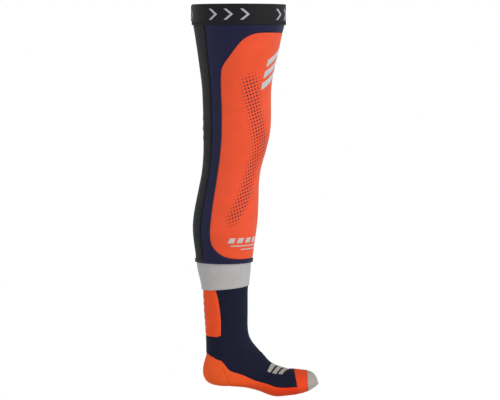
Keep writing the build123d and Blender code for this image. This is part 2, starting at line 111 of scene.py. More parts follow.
class Skin:
    """A tube's outer surface. A place on it is (along, angle): metres down the tube, and radians from its
    front towards +Y. radius is the one that turns an angle into a length on the flat cloth."""

    def __init__(self, nodes, planes, radius, cap=None):
        tree = tree_of(nodes)
        self.radius = radius
        self.planes = planes
        self.middles, self.ups, rows = [], [], []
        for eye, look in planes:
            near = tree.ray_cast(eye, look)[0]
            far = tree.ray_cast(eye + look * 1.0, -look)[0]
            self.middles.append((near + far) / 2)
            self.ups.append(-look)
            rows.append(self.section(tree, self.middles[-1], -look, 0.0))
        if cap:
            for lean in np.linspace(0, pi / 2, cap + 1)[1:]:
                rows.append(self.section(tree, self.middles[-1], self.ups[-1], lean))
        self.grid = np.array(rows)
        steps = np.linalg.norm(np.diff(self.grid, axis=0), axis=2).mean(axis=1)
        self.along = np.concatenate([[0.0], np.cumsum(steps)])

    def section(self, tree, middle, up, lean):
        forward = Vector((0, 1, 0)).cross(up)
        row = []
        for i in range(COLUMNS):
            angle = 2 * pi * i / COLUMNS
            flat = up * cos(angle) + Vector((0, 1, 0)) * sin(angle)
            out = flat * cos(lean) + forward * sin(lean)
            hit = tree.ray_cast(middle + out * FAR, -out)[0]
            row.append(hit)
        return row

    def at(self, along, angle):
        row = np.interp(along, self.along, np.arange(len(self.along)))
        column = (angle / (2 * pi) * COLUMNS) % COLUMNS
        r, c = np.floor(row).astype(int), np.floor(column).astype(int)
        last = len(self.along) - 1
        picked = []
        for i in (-1, 0, 1, 2):
            line = self.grid[np.clip(r + i, 0, last)]
            four = [line[np.arange(len(c)), (c + j) % COLUMNS] for j in (-1, 0, 1, 2)]
            picked.append(catmull(*four, column - c))
        return catmull(*picked, row - r)

    def frame_at(self, along, angle):
        """The places and the outward directions."""
        step = 0.0008
        down = self.at(np.clip(along + step, 0, self.along[-1]), angle)
        down = down - self.at(np.clip(along - step, 0, self.along[-1]), angle)
        turn = step / 0.05
        around = self.at(along, angle + turn) - self.at(along, angle - turn)
        out = np.cross(down, around)
        out /= np.maximum(np.linalg.norm(out, axis=1), 1e-12)[:, None]
        return self.at(along, angle), out

    def from_side(self, row_of, x, z):
        """The place, on the +Y side, that a point of the side view shows."""
        row = row_of(x, z)
        low = min(int(row), len(self.planes) - 2)
        share = row - low
        section = self.grid[low] * (1 - share) + self.grid[low + 1] * share
        up = (self.ups[low] * (1 - share) + self.ups[low + 1] * share).normalized()
        half = COLUMNS // 2 + 1
        reach = section[:half] @ np.array(up)
        wanted = x * up.x + z * up.z
        angle = np.interp(-wanted, -reach, np.arange(half)) * 2 * pi / COLUMNS
        return np.interp(row, np.arange(len(self.along)), self.along), angle


class Barrel:
    """An upright cylinder, used as a skin is. side is 1 for its outside and -1 for its inside."""

    def __init__(self, radius, top, side=1):
        self.radius, self.top, self.side = radius, top, side

    def frame_at(self, along, angle):
        angle = angle * self.side
        out = np.column_stack([np.cos(angle), np.sin(angle), angle * 0])
        places = out * self.radius + np.column_stack([angle * 0, angle * 0, self.top - along])
        return places, out * self.side


def sleeve_planes():
    """Level cuts, from the sleeve's upper edge to its hem. Each is a place to look from, and a direction."""
    levels = np.linspace(SLEEVE_TOP - 0.001, HEM_FRONT + 0.0005, SLEEVE_CUTS)
    return [(Vector((AWAY, 0, z)), Vector((-1, 0, 0))) for z in levels]


# in front of the ankle: the foot's cuts fan out from it
ELBOW = Vector((ANKLE.x + 0.0855, 0, ANKLE.z + 0.004))
CAP_X = TOE_X - 0.019


def sock_planes():
    """Level cuts down the shaft, a fan about the ankle's elbow, then upright cuts along the foot."""
    ahead, down = Vector((-1, 0, 0)), Vector((0, 0, -1))
    levels = np.linspace(CUFF_HIGH.z - 0.001, ELBOW.z, SHAFT_ROWS + 1)
    planes = [(Vector((AWAY, 0, z)), ahead) for z in levels]
    for turn in np.linspace(0, pi / 2, FAN_ROWS + 1)[1:]:
        planes.append((ELBOW.copy(), ahead * cos(turn) + down * sin(turn)))
    planes += [(Vector((x, 0, ELBOW.z)), down) for x in np.linspace(ELBOW.x, CAP_X, FOOT_ROWS + 1)[1:]]
    return planes


def sleeve_row(x, z):
    top, end = sleeve.planes[0][0].z, sleeve.planes[-1][0].z
    return (top - z) / (top - end) * (len(sleeve.planes) - 1)


def sock_row(x, z):
    """The number, with its fraction, of the sock's cut through a point of the side view."""
    if z >= ELBOW.z:
        top = sock.planes[0][0].z
        return (top - z) / (top - ELBOW.z) * SHAFT_ROWS
    if x <= ELBOW.x:
        return SHAFT_ROWS + atan2(ELBOW.z - z, ELBOW.x - x) / (pi / 2) * FAN_ROWS
    return SHAFT_ROWS + FAN_ROWS + (x - ELBOW.x) / (CAP_X - ELBOW.x) * FOOT_ROWS


def names(stem):
    """The CAD nodes of a piece of the sleeve, which is in three there."""
    return [f"{stem}_{part}" for part in ("thigh", "knee", "calf")]


band = Barrel(BAND_RADIUS, BAND_HIGH.z)
BAND_WALL = BAND_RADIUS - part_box("grip_tape")[1].x
lining = Barrel(BAND_RADIUS - BAND_WALL, BAND_HIGH.z, -1)
sleeve = Skin([*names("front_panel"), *names("side_panel"), *names("back_mesh")], sleeve_planes(), 0.060)
SOCK_NODES = ["cuff", "shaft_knit", "calf_pad", "ankle_knit", "instep_knit", "heel_cup", "sole_cushion",
              "toe_band", "toe_cap"]
sock = Skin(SOCK_NODES, sock_planes(), 0.042, cap=14)
HALF_TURN = pi * sock.radius


# ---------------------------------------------------------------- meshes
def new_object(name, points, faces, cloth):
    """cloth gives each point's place on the flat cloth, in metres, which becomes the UV map."""
    mesh = bpy.data.meshes.new(name)
    mesh.from_pydata([tuple(p) for p in points], [], faces)
    mesh.validate()
    layer = mesh.uv_layers.new(name="cloth")
    corners = np.zeros(len(mesh.loops), dtype=np.int32)
    mesh.loops.foreach_get("vertex_index", corners)
    layer.data.foreach_set("uv", np.asarray(cloth, dtype=np.float32)[corners].ravel())
    mesh.polygons.foreach_set("use_smooth", [True] * len(mesh.polygons))
    mesh.update()
    piece = bpy.data.objects.new(name, mesh)
    bpy.context.scene.collection.objects.link(piece)
    return piece


def resample(outline, spacing):
    """A closed line with points about spacing apart, which keeps its corners."""
    line = np.asarray(outline, dtype=float)
    after = np.roll(line, -1, axis=0)
    made = []
    for a, b in zip(line, after):
        count = max(1, int(round(np.linalg.norm(b - a) / spacing)))
        made += [a + (b - a) * i / count for i in range(count)]
    return np.array(made)


def inside(points, ring):
    """Which points lie inside a closed line."""
    a, b = ring, np.roll(ring, -1, axis=0)
    x, y = points[:, :1], points[:, 1:]
    crosses = (a[:, 1] > y) != (b[:, 1] > y)
    rise = np.where(b[:, 1] == a[:, 1], 1e-12, b[:, 1] - a[:, 1])
    return ((x < (b[:, 0] - a[:, 0]) * (y - a[:, 1]) / rise + a[:, 0]) & crosses).sum(axis=1) % 2 == 1


def clearance(points, rings, turn=None):
    """How far each point is from the nearest line. turn is half the way round a tube that the piece goes all
    the way round: lines along its cut don't count, and the others are seen from both sides of it."""
    best = np.full(len(points), 1.0)
    for ring in rings:
        a, b = ring, np.roll(ring, -1, axis=0)
        if turn:
            on_cut = (np.abs(np.abs(a[:, 0]) - turn) < 1e-6) & (np.abs(np.abs(b[:, 0]) - turn) < 1e-6)
            a, b = a[~on_cut], b[~on_cut]
            shifts = [np.array([shift, 0]) for shift in (0, 2 * turn, -2 * turn)]
            a, b = np.vstack([a + shift for shift in shifts]), np.vstack([b + shift for shift in shifts])
        for start in range(0, len(points), 4000):
            p = points[start:start + 4000, None]
            along = ((p - a) * (b - a)).sum(2) / np.maximum(((b - a) ** 2).sum(1), 1e-18)
            near = a + np.clip(along, 0, 1)[..., None] * (b - a)
            found = np.linalg.norm(p - near, axis=2).min(axis=1)
            best[start:start + 4000] = np.minimum(best[start:start + 4000], found)
    return best


def closed_sheet(name, skin, cloth, faces, rim, outer, inner, centre=0.0):
    """A shell from a flat mesh of the cloth. outer and inner are how far its sides stand off the surface."""
    place, out = skin.frame_at(cloth[:, 1], centre + cloth[:, 0] / skin.radius)
    count = len(cloth)
    points = np.concatenate([place + out * outer[:, None], place + out * inner[:, None]])
    made = [tuple(reversed(face)) for face in faces]
    made += [tuple(i + count for i in face) for face in faces]
    made += [(a, b, b + count, a + count) for a, b in rim]
    return new_object(name, points, made, np.concatenate([cloth, cloth]))


def patch(name, skin, outline, holes=(), spacing=0.003, wall=SLEEVE_WALL, relief=None, dip=0.0004,
          dip_width=0.0016, lift=0.0, centre=0.0):
    """A piece cut to an outline. relief(cloth, edge) raises it, where edge is each point's way to its edge,
    and dip is how far it sinks at its edge, as a seam pulls it in."""
    rings = [resample(ring, spacing) for ring in (outline, *holes)]

    def in_piece(places):
        kept = inside(places, rings[0])
        for ring in rings[1:]:
            kept &= ~inside(places, ring)
        return kept

    low, high = rings[0].min(0), rings[0].max(0)
    row_gap = spacing * 0.866
    lattice = []
    for j, y in enumerate(np.arange(low[1] + row_gap, high[1], row_gap)):
        xs = np.arange(low[0] + spacing * (0.5 if j % 2 else 1.0), high[0], spacing)
        lattice.append(np.column_stack([xs, np.full(len(xs), y)]))
    lattice = np.concatenate(lattice) if lattice else np.zeros((0, 2))
    lattice = lattice[in_piece(lattice)]
    lattice = lattice[clearance(lattice, rings) > spacing * 0.45]
    points = np.concatenate([*rings, lattice])
    edges, start = [], 0
    for ring in rings:
        edges += [(start + i, start + (i + 1) % len(ring)) for i in range(len(ring))]
        start += len(ring)
    cut = delaunay_2d_cdt([Vector(p) for p in points], edges, [], 0, 1e-9)
    cloth = np.array([tuple(p) for p in cut[0]])
    faces = np.array([tuple(face) for face in cut[2]])
    faces = faces[in_piece(cloth[faces].mean(axis=1))]
    a, b, c = (cloth[faces[:, i]] for i in range(3))
    flat = (b[:, 0] - a[:, 0]) * (c[:, 1] - a[:, 1]) - (b[:, 1] - a[:, 1]) * (c[:, 0] - a[:, 0])
    faces = [tuple(int(i) for i in (f if area > 0 else f[::-1])) for f, area in zip(faces, flat)]
    # a dictionary keeps the order of the sides
    sides = {(face[i], face[(i + 1) % 3]): True for face in faces for i in range(3)}
    rim = [(a, b) for a, b in sides if (b, a) not in sides]
    turn = pi * skin.radius
    seamless = abs(low[0] + turn) < 1e-6 and abs(high[0] - turn) < 1e-6
    if seamless:
        on_cut = np.abs(np.abs(cloth[:, 0]) - turn) < 1e-6
        rim = [(a, b) for a, b in rim if not (on_cut[a] and on_cut[b])]
    edge = clearance(cloth, rings, turn if seamless else None)
    sunk = dip * np.exp(-(edge / dip_width) ** 2)
    raised = relief(cloth, edge) if relief else 0.0
    outer = lift - sunk + raised
    inner = outer - wall
    piece = closed_sheet(name, skin, cloth, faces, rim, outer, inner, centre)
    if seamless:
        reshape(piece, lambda made: bmesh.ops.remove_doubles(made, verts=made.verts, dist=1e-6))
    return piece


def reshape(piece, work):
    """Does work on a piece's mesh."""
    made = bmesh.new()
    made.from_mesh(piece.data)
    work(made)
    made.to_mesh(piece.data)
    made.free()


def close_holes(made):
    bmesh.ops.holes_fill(made, edges=[edge for edge in made.edges if edge.is_boundary], sides=0)


def sleeve_grid(name, skin, top, end, rows, columns, outer, wall, centre=0.0, reach=pi, tip=False):
    """A piece with straight rows from the line top(angle) down to end(angle), all the way round or to reach
    each side of centre. outer(angle, share, along) is how far it stands off the surface. tip closes its lower
    end."""
    closed = reach >= pi - 1e-9
    angles = np.linspace(-reach, reach, columns + 1)[:columns + (0 if closed else 1)]
    shares = np.linspace(0, 1, rows + 1)
    angle, share = np.meshgrid(angles, shares)
    wide = len(angles)
    limit = np.array([[top(centre + a), end(centre + a)] for a in angles])
    along = limit[:, 0] + (limit[:, 1] - limit[:, 0]) * share
    cloth = np.column_stack([angle.ravel() * skin.radius, along.ravel()])
    stand = outer(angle + centre, share, along).ravel()
    inner = np.minimum(stand, 0) - wall
    faces, rim = [], []
    span = wide if closed else wide - 1
    for r in range(rows):
        for c in range(span):
            d = (c + 1) % wide
            faces.append((r * wide + c, r * wide + d, (r + 1) * wide + d, (r + 1) * wide + c))
    for c in range(span):
        d = (c + 1) % wide
        rim += [(c, d)] if tip else [(c, d), (rows * wide + d, rows * wide + c)]
    if not closed:
        for r in range(rows):
            rim += [((r + 1) * wide, r * wide), (r * wide + wide - 1, (r + 1) * wide + wide - 1)]
    piece = closed_sheet(name, skin, cloth, faces, rim, stand, inner, centre)
    if tip:
        reshape(piece, close_holes)
    return piece


# ---------------------------------------------------------------- outlines on the sleeve
def smooth(points, steps=10):
    """A smooth line through points."""
    line = np.asarray(points, dtype=float)
    before, after = 2 * line[0] - line[1], 2 * line[-1] - line[-2]
    full = np.vstack([before, line, after])
    made = []
    for i in range(1, len(full) - 2):
        for share in np.arange(steps) / steps:
            made.append(catmull(full[i - 1:i], full[i:i + 1], full[i + 1:i + 2], full[i + 2:i + 3],
                                np.array([share]))[0])
    made.append(line[-1])
    return np.array(made)


def sleeve_ends(z):
    """The back and the front of the sleeve at a level."""
    along = sleeve_along(z)
    return sleeve.at(along, np.array([pi]))[0][0], sleeve.at(along, np.array([0.0]))[0][0]


def sleeve_along(z):
    rows = sleeve_row(0, np.atleast_1d(z))
    return np.interp(rows, np.arange(len(sleeve.along)), sleeve.along)


def on_sleeve(share, z):
    """A place on the sleeve's cloth, from its share of the depth in the side view and its level."""
    back, front = sleeve_ends(z)
    along, angle = sleeve.from_side(sleeve_row, back + (front - back) * share, z)
    return (angle * sleeve.radius, float(along))


def on_sock(x, z):
    along, angle = sock.from_side(sock_row, x, z)
    return (angle * sock.radius, float(along))


BACK_SHARE, FRONT_SHARE = 0.122, 0.28
SEAM_HALF = 0.0017
TOP_CORNER, END_CORNER = 0.077, 0.044


def front_outline():
    """Half of the front panel's edge on the +Y side, then its mirror image."""
    side_top, side_end = PANEL_TOP - TOP_CORNER, PANEL_END + END_CORNER
    top = [(0.9995, 0), (0.95, 0), (0.80, 0.0), (0.69, 0.024), (0.59, 0.12), (0.524, 0.243), (0.46, 0.413),
           (0.40, 0.584), (0.335, 0.76), (0.303, 0.88), (FRONT_SHARE + 0.01, 1.0)]
    line = [(share, PANEL_TOP - TOP_CORNER * drop) for share, drop in top]
    line += [(FRONT_SHARE, side_top + (side_end - side_top) * i / 12) for i in range(1, 13)]
    end = [(0.31, 0.60), (0.415, 0.27), (0.57, 0.08), (0.80, 0.0), (0.95, 0.0), (0.9995, 0)]
    line += [(share, PANEL_END + END_CORNER * rise) for share, rise in end]
    half = smooth([on_sleeve(share, z) for share, z in line], 6)
    half[0, 0] = half[-1, 0] = 0.0
    return with_mirror(half)


def with_mirror(half):
    """A closed outline, from the half of it that starts and ends on the front's middle line."""
    return np.vstack([half, half[-2:0:-1] * (-1, 1)])


def back_edge(z, shift=0.0):
    """The back seam's place at a level, moved towards the front by shift."""
    s, along = on_sleeve(BACK_SHARE, z)
    return (s - shift, along)


def hem_level(angle):
    """The hem's level, which is highest behind."""
    return HEM_FRONT + (HEM_BACK - HEM_FRONT) * (1 - cos(angle)) / 2


def hem_along(angle):
    return float(sleeve_along(hem_level(angle))[0])


def side_outline():
    """The navy piece: from one back seam round the front to the other."""
    levels = np.linspace(SLEEVE_TOP - 0.0015, HEM_FRONT + 0.004, 60)
    right = np.array([back_edge(z, SEAM_HALF * 0.5) for z in levels])
    reach = right[-1, 0] / sleeve.radius
    hem = np.array([(a * sleeve.radius, hem_along(a) - 0.0008) for a in np.linspace(reach, -reach, 60)])
    right[-1] = hem[0]
    left = right[::-1] * (-1, 1)
    return np.vstack([right[:-1], hem, left[1:]])


# ---------------------------------------------------------------- relief
def waves(cloth, radius, seed, size, count=14):
    """A smooth uneven height, about -1 to 1, whose bumps are about size across."""
    drawn = np.random.default_rng(seed)
    total = np.zeros(len(cloth))
    for _ in range(count):
        turn = drawn.uniform(0, 2 * pi)
        pace = 2 * pi / (size * drawn.uniform(0.7, 1.6))
        # whole turns round the leg, so that the two ends meet
        round_turns = round(pace * cos(turn) * radius) / radius
        total += np.sin(cloth[:, 0] * round_turns + cloth[:, 1] * pace * sin(turn) + drawn.uniform(0, 2 * pi))
    return total / count * 2.2


def bump(value, middle, width):
    return np.exp(-((value - middle) / width) ** 2)


def sleeve_relief(cloth):
    """Slack in the fabric: soft folds behind the knee and above it, and a slight unevenness all over."""
    angle, along = cloth[:, 0] / sleeve.radius, cloth[:, 1]
    knee = float(sleeve_along(KNEE.z)[0])
    behind = np.clip(-np.cos(angle), 0, 1) ** 1.5
    folds = np.zeros(len(cloth))
    for offset, size, slope in ((-0.026, 0.0006, 0.004), (-0.006, 0.0009, -0.003), (0.012, 0.0007, 0.005)):
        folds += size * bump(along, knee + offset + slope * np.sin(angle * 2), 0.0045)
    below = np.clip(np.cos(angle), 0, 1) ** 2
    soft = 0.0004 * bump(along, knee + 0.040, 0.010) + 0.0003 * bump(along, knee + 0.062, 0.007)
    return folds * behind + soft * below + 0.00022 * waves(cloth, sleeve.radius, 3, 0.055)


def slack(cloth, edge):
    """The sleeve's relief, in the form that patch asks for."""
    return sleeve_relief(cloth)


def by_grid(relief, skin, angle, along):
    """A relief, in the form that sleeve_grid asks for."""
    cloth = np.column_stack([(angle * skin.radius).ravel(), along.ravel()])
    return relief(cloth).reshape(angle.shape)


# ---------------------------------------------------------------- materials
def linear(*channels):
    """A colour given as 0 to 255 on a screen."""
    shares = [c / 255 for c in channels]
    return (*[s / 12.92 if s <= 0.04045 else ((s + 0.055) / 1.055) ** 2.4 for s in shares], 1.0)


class Finish:
    """A material and the links between its nodes."""

    def __init__(self, name, roughness, sheen=0.0, sheen_tint=(1, 1, 1, 1), specular=0.3):
        self.material = bpy.data.materials.new(name)
        self.material.use_nodes = True
        self.tree = self.material.node_tree
        self.shader = self.tree.nodes["Principled BSDF"]
        for socket, value in (("Roughness", roughness), ("Sheen Weight", sheen), ("Sheen Roughness", 0.45),
                              ("Sheen Tint", sheen_tint), ("Specular IOR Level", specular)):
            self.shader.inputs[socket].default_value = value
        self.cloth = self.node("ShaderNodeUVMap", uv_map="cloth").outputs[0]

    def node(self, kind, inputs=(), **settings):
        made = self.tree.nodes.new(kind)
        for key, value in settings.items():
            setattr(made, key, value)
        for key, value in dict(inputs).items():
            self.put(made.inputs[key], value)
        return made

    def put(self, socket, value):
        if isinstance(value, bpy.types.NodeSocket):
            self.tree.links.new(value, socket)
        else:
            socket.default_value = value

    def math(self, operation, a, b=0.0, c=0.0):
        return self.node("ShaderNodeMath", {0: a, 1: b, 2: c}, operation=operation).outputs[0]

    def axes(self, scale):
        """The cloth's two lengths, in millimetres times scale."""
        split = self.node("ShaderNodeSeparateXYZ", {0: self.cloth})
        return [self.math("MULTIPLY", split.outputs[i], 1000.0 * scale) for i in (0, 1)]

    def noise(self, size, detail=3.0, rough=0.55, stretch=(1, 1)):
        """Noise on the cloth, with patches about size metres across."""
        mapped = self.node("ShaderNodeMapping", {0: self.cloth, 3: (stretch[0] / size, stretch[1] / size, 1)})
        return self.node("ShaderNodeTexNoise", {"Vector": mapped.outputs[0], "Scale": 1.0, "Detail": detail,
                                                "Roughness": rough}).outputs[0]

    def ramp(self, value, *stops):
        made = self.node("ShaderNodeValToRGB", {0: value})
        ends = made.color_ramp.elements
        while len(ends) < len(stops):
            ends.new(0.5)
        for end, (place, colour) in zip(ends, stops):
            end.position, end.color = place, colour
        return made.outputs[0]

    def mix(self, share, a, b, blend="MIX"):
        made = self.node("ShaderNodeMix", data_type="RGBA", blend_type=blend)
        self.put(made.inputs[0], share)
        self.put(made.inputs[6], a)
        self.put(made.inputs[7], b)
        return made.outputs[2]

    def from_middle(self, value, pitch):
        """How far a value is from the middle of its repeat, from 0 to 0.5."""
        share = self.math("FRACT", self.math("DIVIDE", value, pitch))
        return self.math("ABSOLUTE", self.math("SUBTRACT", share, 0.5))

    def knit(self, wale, course, slant=0.5):
        """Height of plain knitting: columns of V-shaped loops, wale and course millimetres apart."""
        x, y = self.axes(1.0)
        side = self.math("MULTIPLY", self.from_middle(x, wale), 2.0)
        y = self.math("DIVIDE", y, course)
        column = self.math("SUBTRACT", 1.0, self.math("MULTIPLY", side, side))
        turn = self.math("MULTIPLY", self.math("ADD", y, self.math("MULTIPLY", side, slant)), 2 * pi)
        row = self.math("MULTIPLY_ADD", self.math("COSINE", turn), 0.25, 0.75)
        return self.math("MULTIPLY", column, row)

    def raise_by(self, height, depth, strength=0.6):
        """Bump of depth metres from a height of 0 to 1."""
        bump_node = self.node("ShaderNodeBump", {"Height": height, "Distance": depth, "Strength": strength})
        self.put(self.shader.inputs["Normal"], bump_node.outputs[0])

    def colour(self, value):
        self.put(self.shader.inputs["Base Color"], value)


def shade(colour, by):
    return (*[c * by for c in colour[:3]], 1.0)


def knitted(name, colour, wale, course, depth, roughness=0.75, sheen=0.3, mottle=0.12, groove_shade=0.72,
            tint=None):
    """Knitted fabric: loops in relief, painted shade that darkens it between the loops, and a little
    unevenness in its colour.
    """
    made = Finish(name, roughness, sheen, tint or (1, 1, 1, 1))
    loops = made.knit(wale, course)
    base_tone = made.ramp(made.noise(0.03), (0.3, shade(colour, 1 - mottle)), (0.7, shade(colour, 1 + mottle)))
    # painted shade: the colour is darker between the loops
    deep = made.ramp(loops, (0.0, (groove_shade, groove_shade, groove_shade, 1)), (0.6, WHITE))
    made.colour(made.mix(1.0, base_tone, deep, "MULTIPLY"))
    fuzz = made.noise(0.0009, 2.0, 0.6)
    made.raise_by(made.math("MULTIPLY_ADD", fuzz, 0.25, loops), depth)
    return made.material


CORAL, NAVY, INK = linear(252, 86, 44), linear(15, 19, 60), linear(13, 16, 45)
ORANGE, HEEL_ORANGE = linear(255, 88, 42), linear(255, 98, 44)
# the sole's second colour is painted shade: a darker, redder orange towards the toes
SOLE_PAINTED_SHADE_ORANGE, TOE_ORANGE = linear(248, 62, 24), linear(252, 78, 40)
SILVER, CUFF_GREY, TOE_GREY = linear(198, 203, 206), linear(196, 194, 193), linear(184, 178, 168)
CHARCOAL, BLACK, DOT = linear(38, 38, 41), linear(16, 16, 18), linear(46, 22, 48)
WHITE = (1, 1, 1, 1)
WALE, COURSE = 0.9, 0.7  # a fine jersey's loops, in millimetres


def bends_at_knee(piece):
    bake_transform(piece)
    return piece


def bends_at_ankle(piece):
    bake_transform(piece)
    return piece


def finish_piece(piece, material, replaced=()):
    """Gives a piece its material and slot, and hides the CAD nodes that it stands for."""
    piece.data.materials.clear()
    piece.data.materials.append(material)
    if replaced:
        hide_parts(*replaced)
    return piece


def merged(name, parts):
    """One object from several meshes."""
    made = bmesh.new()
    for part in parts:
        made.from_mesh(part.data)
    mesh = bpy.data.meshes.new(name)
    made.to_mesh(mesh)
    made.free()
    for part in parts:
        old = part.data
        bpy.data.objects.remove(part)
        bpy.data.meshes.remove(old)
    piece = bpy.data.objects.new(name, mesh)
    bpy.context.scene.collection.objects.link(piece)
    return piece


# ---------------------------------------------------------------- the sewn sleeve
def make_front_panel():
    fabric = knitted("front_jersey", CORAL, WALE, COURSE, 0.00012, roughness=0.62, sheen=0.3, mottle=0.05,
                     groove_shade=0.86, tint=linear(255, 190, 150))
    piece = patch("front_panel", sleeve, front_outline(), relief=slack)
    finish_piece(piece, fabric, names("front_panel"))
    bends_at_knee(piece)


def make_side_panel():
    fabric = knitted("side_jersey", NAVY, WALE, COURSE, 0.00012, roughness=0.6, sheen=0.12, mottle=0.08,
                     groove_shade=0.8, tint=linear(90, 100, 160))
    piece = patch("side_panel", sleeve, side_outline(), holes=[front_outline()], relief=slack)
    finish_piece(piece, fabric, names("side_panel"))
    bends_at_knee(piece)


def make_back_mesh():
    """Ribs run across the mesh, with rows of eyelets between them, painted dark as painted shade."""
    made = Finish("back_mesh_knit", 0.8, 0.25, linear(120, 120, 130))
    x, y = made.axes(1.0)
    across, down = made.from_middle(x, 1.9), made.from_middle(y, 3.0)
    hole = made.math("ADD", made.math("MULTIPLY", across, across), made.math("MULTIPLY", down, down))
    # painted shade: the eyelets are dark, for the shade seen through them
    hole = made.ramp(hole, (0.02, (0.25, 0.25, 0.26, 1)), (0.09, WHITE))
    tone = made.ramp(made.noise(0.012), (0.3, shade(CHARCOAL, 0.8)), (0.7, shade(CHARCOAL, 1.3)))
    made.colour(made.mix(1.0, tone, hole, "MULTIPLY"))
    made.raise_by(hole, 0.0003)

    levels = np.linspace(SLEEVE_TOP - 0.0015, HEM_BACK + 0.0012, 48)
    edges = np.array([back_edge(z, -SEAM_HALF * 0.5) for z in levels])
    rib = 0.003
    top, end = edges[0, 1], edges[-1, 1]
    rows, wide = int((end - top) / rib * 6), 56
    along = np.linspace(top, end, rows + 1)
    half = pi * sleeve.radius - np.interp(along, edges[:, 1], edges[:, 0])
    share = np.linspace(-1, 1, wide + 1)
    s = half[:, None] * share
    cloth = np.column_stack([s.ravel(), np.repeat(along, wide + 1)])
    ribs = 0.00035 * (np.cos(2 * pi * cloth[:, 1] / rib) * 0.5 + 0.5) ** 0.7
    ribs *= 0.82 + 0.18 * np.cos(cloth[:, 0] / 0.0019 * 2 * pi)
    shifted = cloth + (pi * sleeve.radius, 0)
    stand = ribs - 0.0004 + sleeve_relief(shifted)
    n = wide + 1
    faces = [(r * n + c, r * n + c + 1, (r + 1) * n + c + 1, (r + 1) * n + c)
             for r in range(rows) for c in range(wide)]
    rim = [(c, c + 1) for c in range(wide)] + [(rows * n + c + 1, rows * n + c) for c in range(wide)]
    rim += [((r + 1) * n, r * n) for r in range(rows)]
    rim += [(r * n + wide, (r + 1) * n + wide) for r in range(rows)]
    inner = sleeve_relief(shifted) - 0.0004 - SLEEVE_WALL
    piece = closed_sheet("back_mesh", sleeve, cloth, faces, rim, stand, inner, pi)
    finish_piece(piece, made.material, names("back_mesh"))
    bends_at_knee(piece)


def front_place(y, z):
    """The cloth's place under a point of the sleeve's front view."""
    along = float(sleeve_along(z)[0])
    angles = np.linspace(-1.45, 1.45, 80)
    across = sleeve.at(np.full(80, along), angles)[:, 1]
    return (float(np.interp(y, across, angles)) * sleeve.radius, along)


def edge_points(corners, step=0.004):
    """A closed line through corners, with points about step apart."""
    return resample(np.array(corners), step)


def chevron_corners(peak, half, thick, drop):
    """The six corners of a chevron that points up, in the front view."""
    return [(0, peak), (half, peak - drop), (half, peak - drop - thick), (0, peak - thick),
            (-half, peak - drop - thick), (-half, peak - drop)]


def make_emblem():
    """Stacked chevrons on the front of the thigh, one heat-sealed layer."""
    low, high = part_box("thigh_emblem")
    half, thick, pitch = high.y, 0.014, 0.022
    drop = high.z - low.z - 2 * pitch - thick
    parts = []
    for i in range(3):
        corners = edge_points(chevron_corners(high.z - i * pitch, half, thick, drop), 0.002)
        outline = [front_place(y, z) for y, z in corners]
        parts.append(patch("chevron", sleeve, outline, spacing=0.002, wall=0.0005, lift=0.0004, dip=0.00025,
                           dip_width=0.0006, relief=slack))
    made = Finish("emblem_film", 0.38, 0.0, specular=0.5)
    made.colour(made.ramp(made.noise(0.006), (0.35, shade(SILVER, 0.93)), (0.65, shade(SILVER, 1.04))))
    made.raise_by(made.noise(0.0012), 0.00006)
    piece = merged("thigh_emblem_film", parts)
    finish_piece(piece, made.material, ["thigh_emblem"])
    bends_at_knee(piece)


# the stripe of dots on each side of the front panel: level, middle and half width in degrees from the front
STRIPE = [(-0.108, 63, 12), (-0.126, 66, 23), (-0.165, 60, 24), (-0.204, 51, 24), (-0.228, 43, 28),
          (-0.262, 32, 31), (-0.291, 43, 23), (-0.320, 48, 22), (-0.356, 57, 24), (-0.378, 68, 23),
          (-0.394, 74, 20), (-0.410, 79, 9)]
DOT_PITCH, DOT_TURN, DOT_RADIUS = 0.0066, radians(18), 0.00185
DOT_SMALLEST, DOT_SIDES = 0.0004, 12
DOT_REACH = 0.12  # how far round the leg the stripe can go
DOT_FADE = 0.022  # how far from its ends the dots shrink
DOT_SQUEEZE = sleeve.radius / 0.066  # the leg's real radius there is about 0.066


def dot_places():
    """Places on the cloth and radii of the dots: a turned square lattice that fades to the stripe's edges."""
    levels = np.array(STRIPE)
    z_of = np.array([plane[0].z for plane in sleeve.planes])
    first, last = float(sleeve_along(STRIPE[0][0])[0]), float(sleeve_along(STRIPE[-1][0])[0])
    found = []
    span = int(0.5 / DOT_PITCH)
    for i in range(-span, span):
        for j in range(-span, span):
            s = (i * cos(DOT_TURN) - j * sin(DOT_TURN)) * DOT_PITCH * DOT_SQUEEZE
            along = first + (i * sin(DOT_TURN) + j * cos(DOT_TURN)) * DOT_PITCH
            if not (first <= along <= last and 0 < s < DOT_REACH):
                continue
            z = float(np.interp(along, sleeve.along, z_of))
            middle = np.interp(-z, -levels[:, 0], levels[:, 1])
            half = np.interp(-z, -levels[:, 0], levels[:, 2])
            off = abs(np.degrees(s / sleeve.radius) - middle) / half
            end = min(along - first, last - along) / DOT_FADE
            size = DOT_RADIUS * min(1.0, 1.5 * (1.06 - off)) * min(1.0, 0.45 + 0.55 * end)
            if off < 1 and size > DOT_SMALLEST:
                found += [(s, along, size), (-s, along, size)]
    return np.array(found)


def make_dots():
    dots = dot_places()
    turns = np.arange(DOT_SIDES) * 2 * pi / DOT_SIDES
    ring = np.column_stack([np.cos(turns) * DOT_SQUEEZE, np.sin(turns)])
    cloth = np.concatenate([np.vstack([[s, along], ring * size + (s, along)]) for s, along, size in dots])
    faces, rim = [], []
    for start in range(0, len(cloth), DOT_SIDES + 1):
        for k in range(DOT_SIDES):
            a, b = start + 1 + k, start + 1 + (k + 1) % DOT_SIDES
            faces.append((start, a, b))
            rim.append((a, b))
    base = sleeve_relief(cloth)
    piece = closed_sheet("print_dots", sleeve, cloth, faces, rim, base + 0.00012, base - 0.0006)
    made = Finish("print_ink", 0.55, 0.15, specular=0.35)
    made.colour(made.ramp(made.noise(0.004), (0.3, shade(DOT, 0.85)), (0.7, shade(DOT, 1.2))))
    made.raise_by(made.knit(WALE, COURSE), 0.00008)
    finish_piece(piece, made.material)
    bends_at_knee(piece)


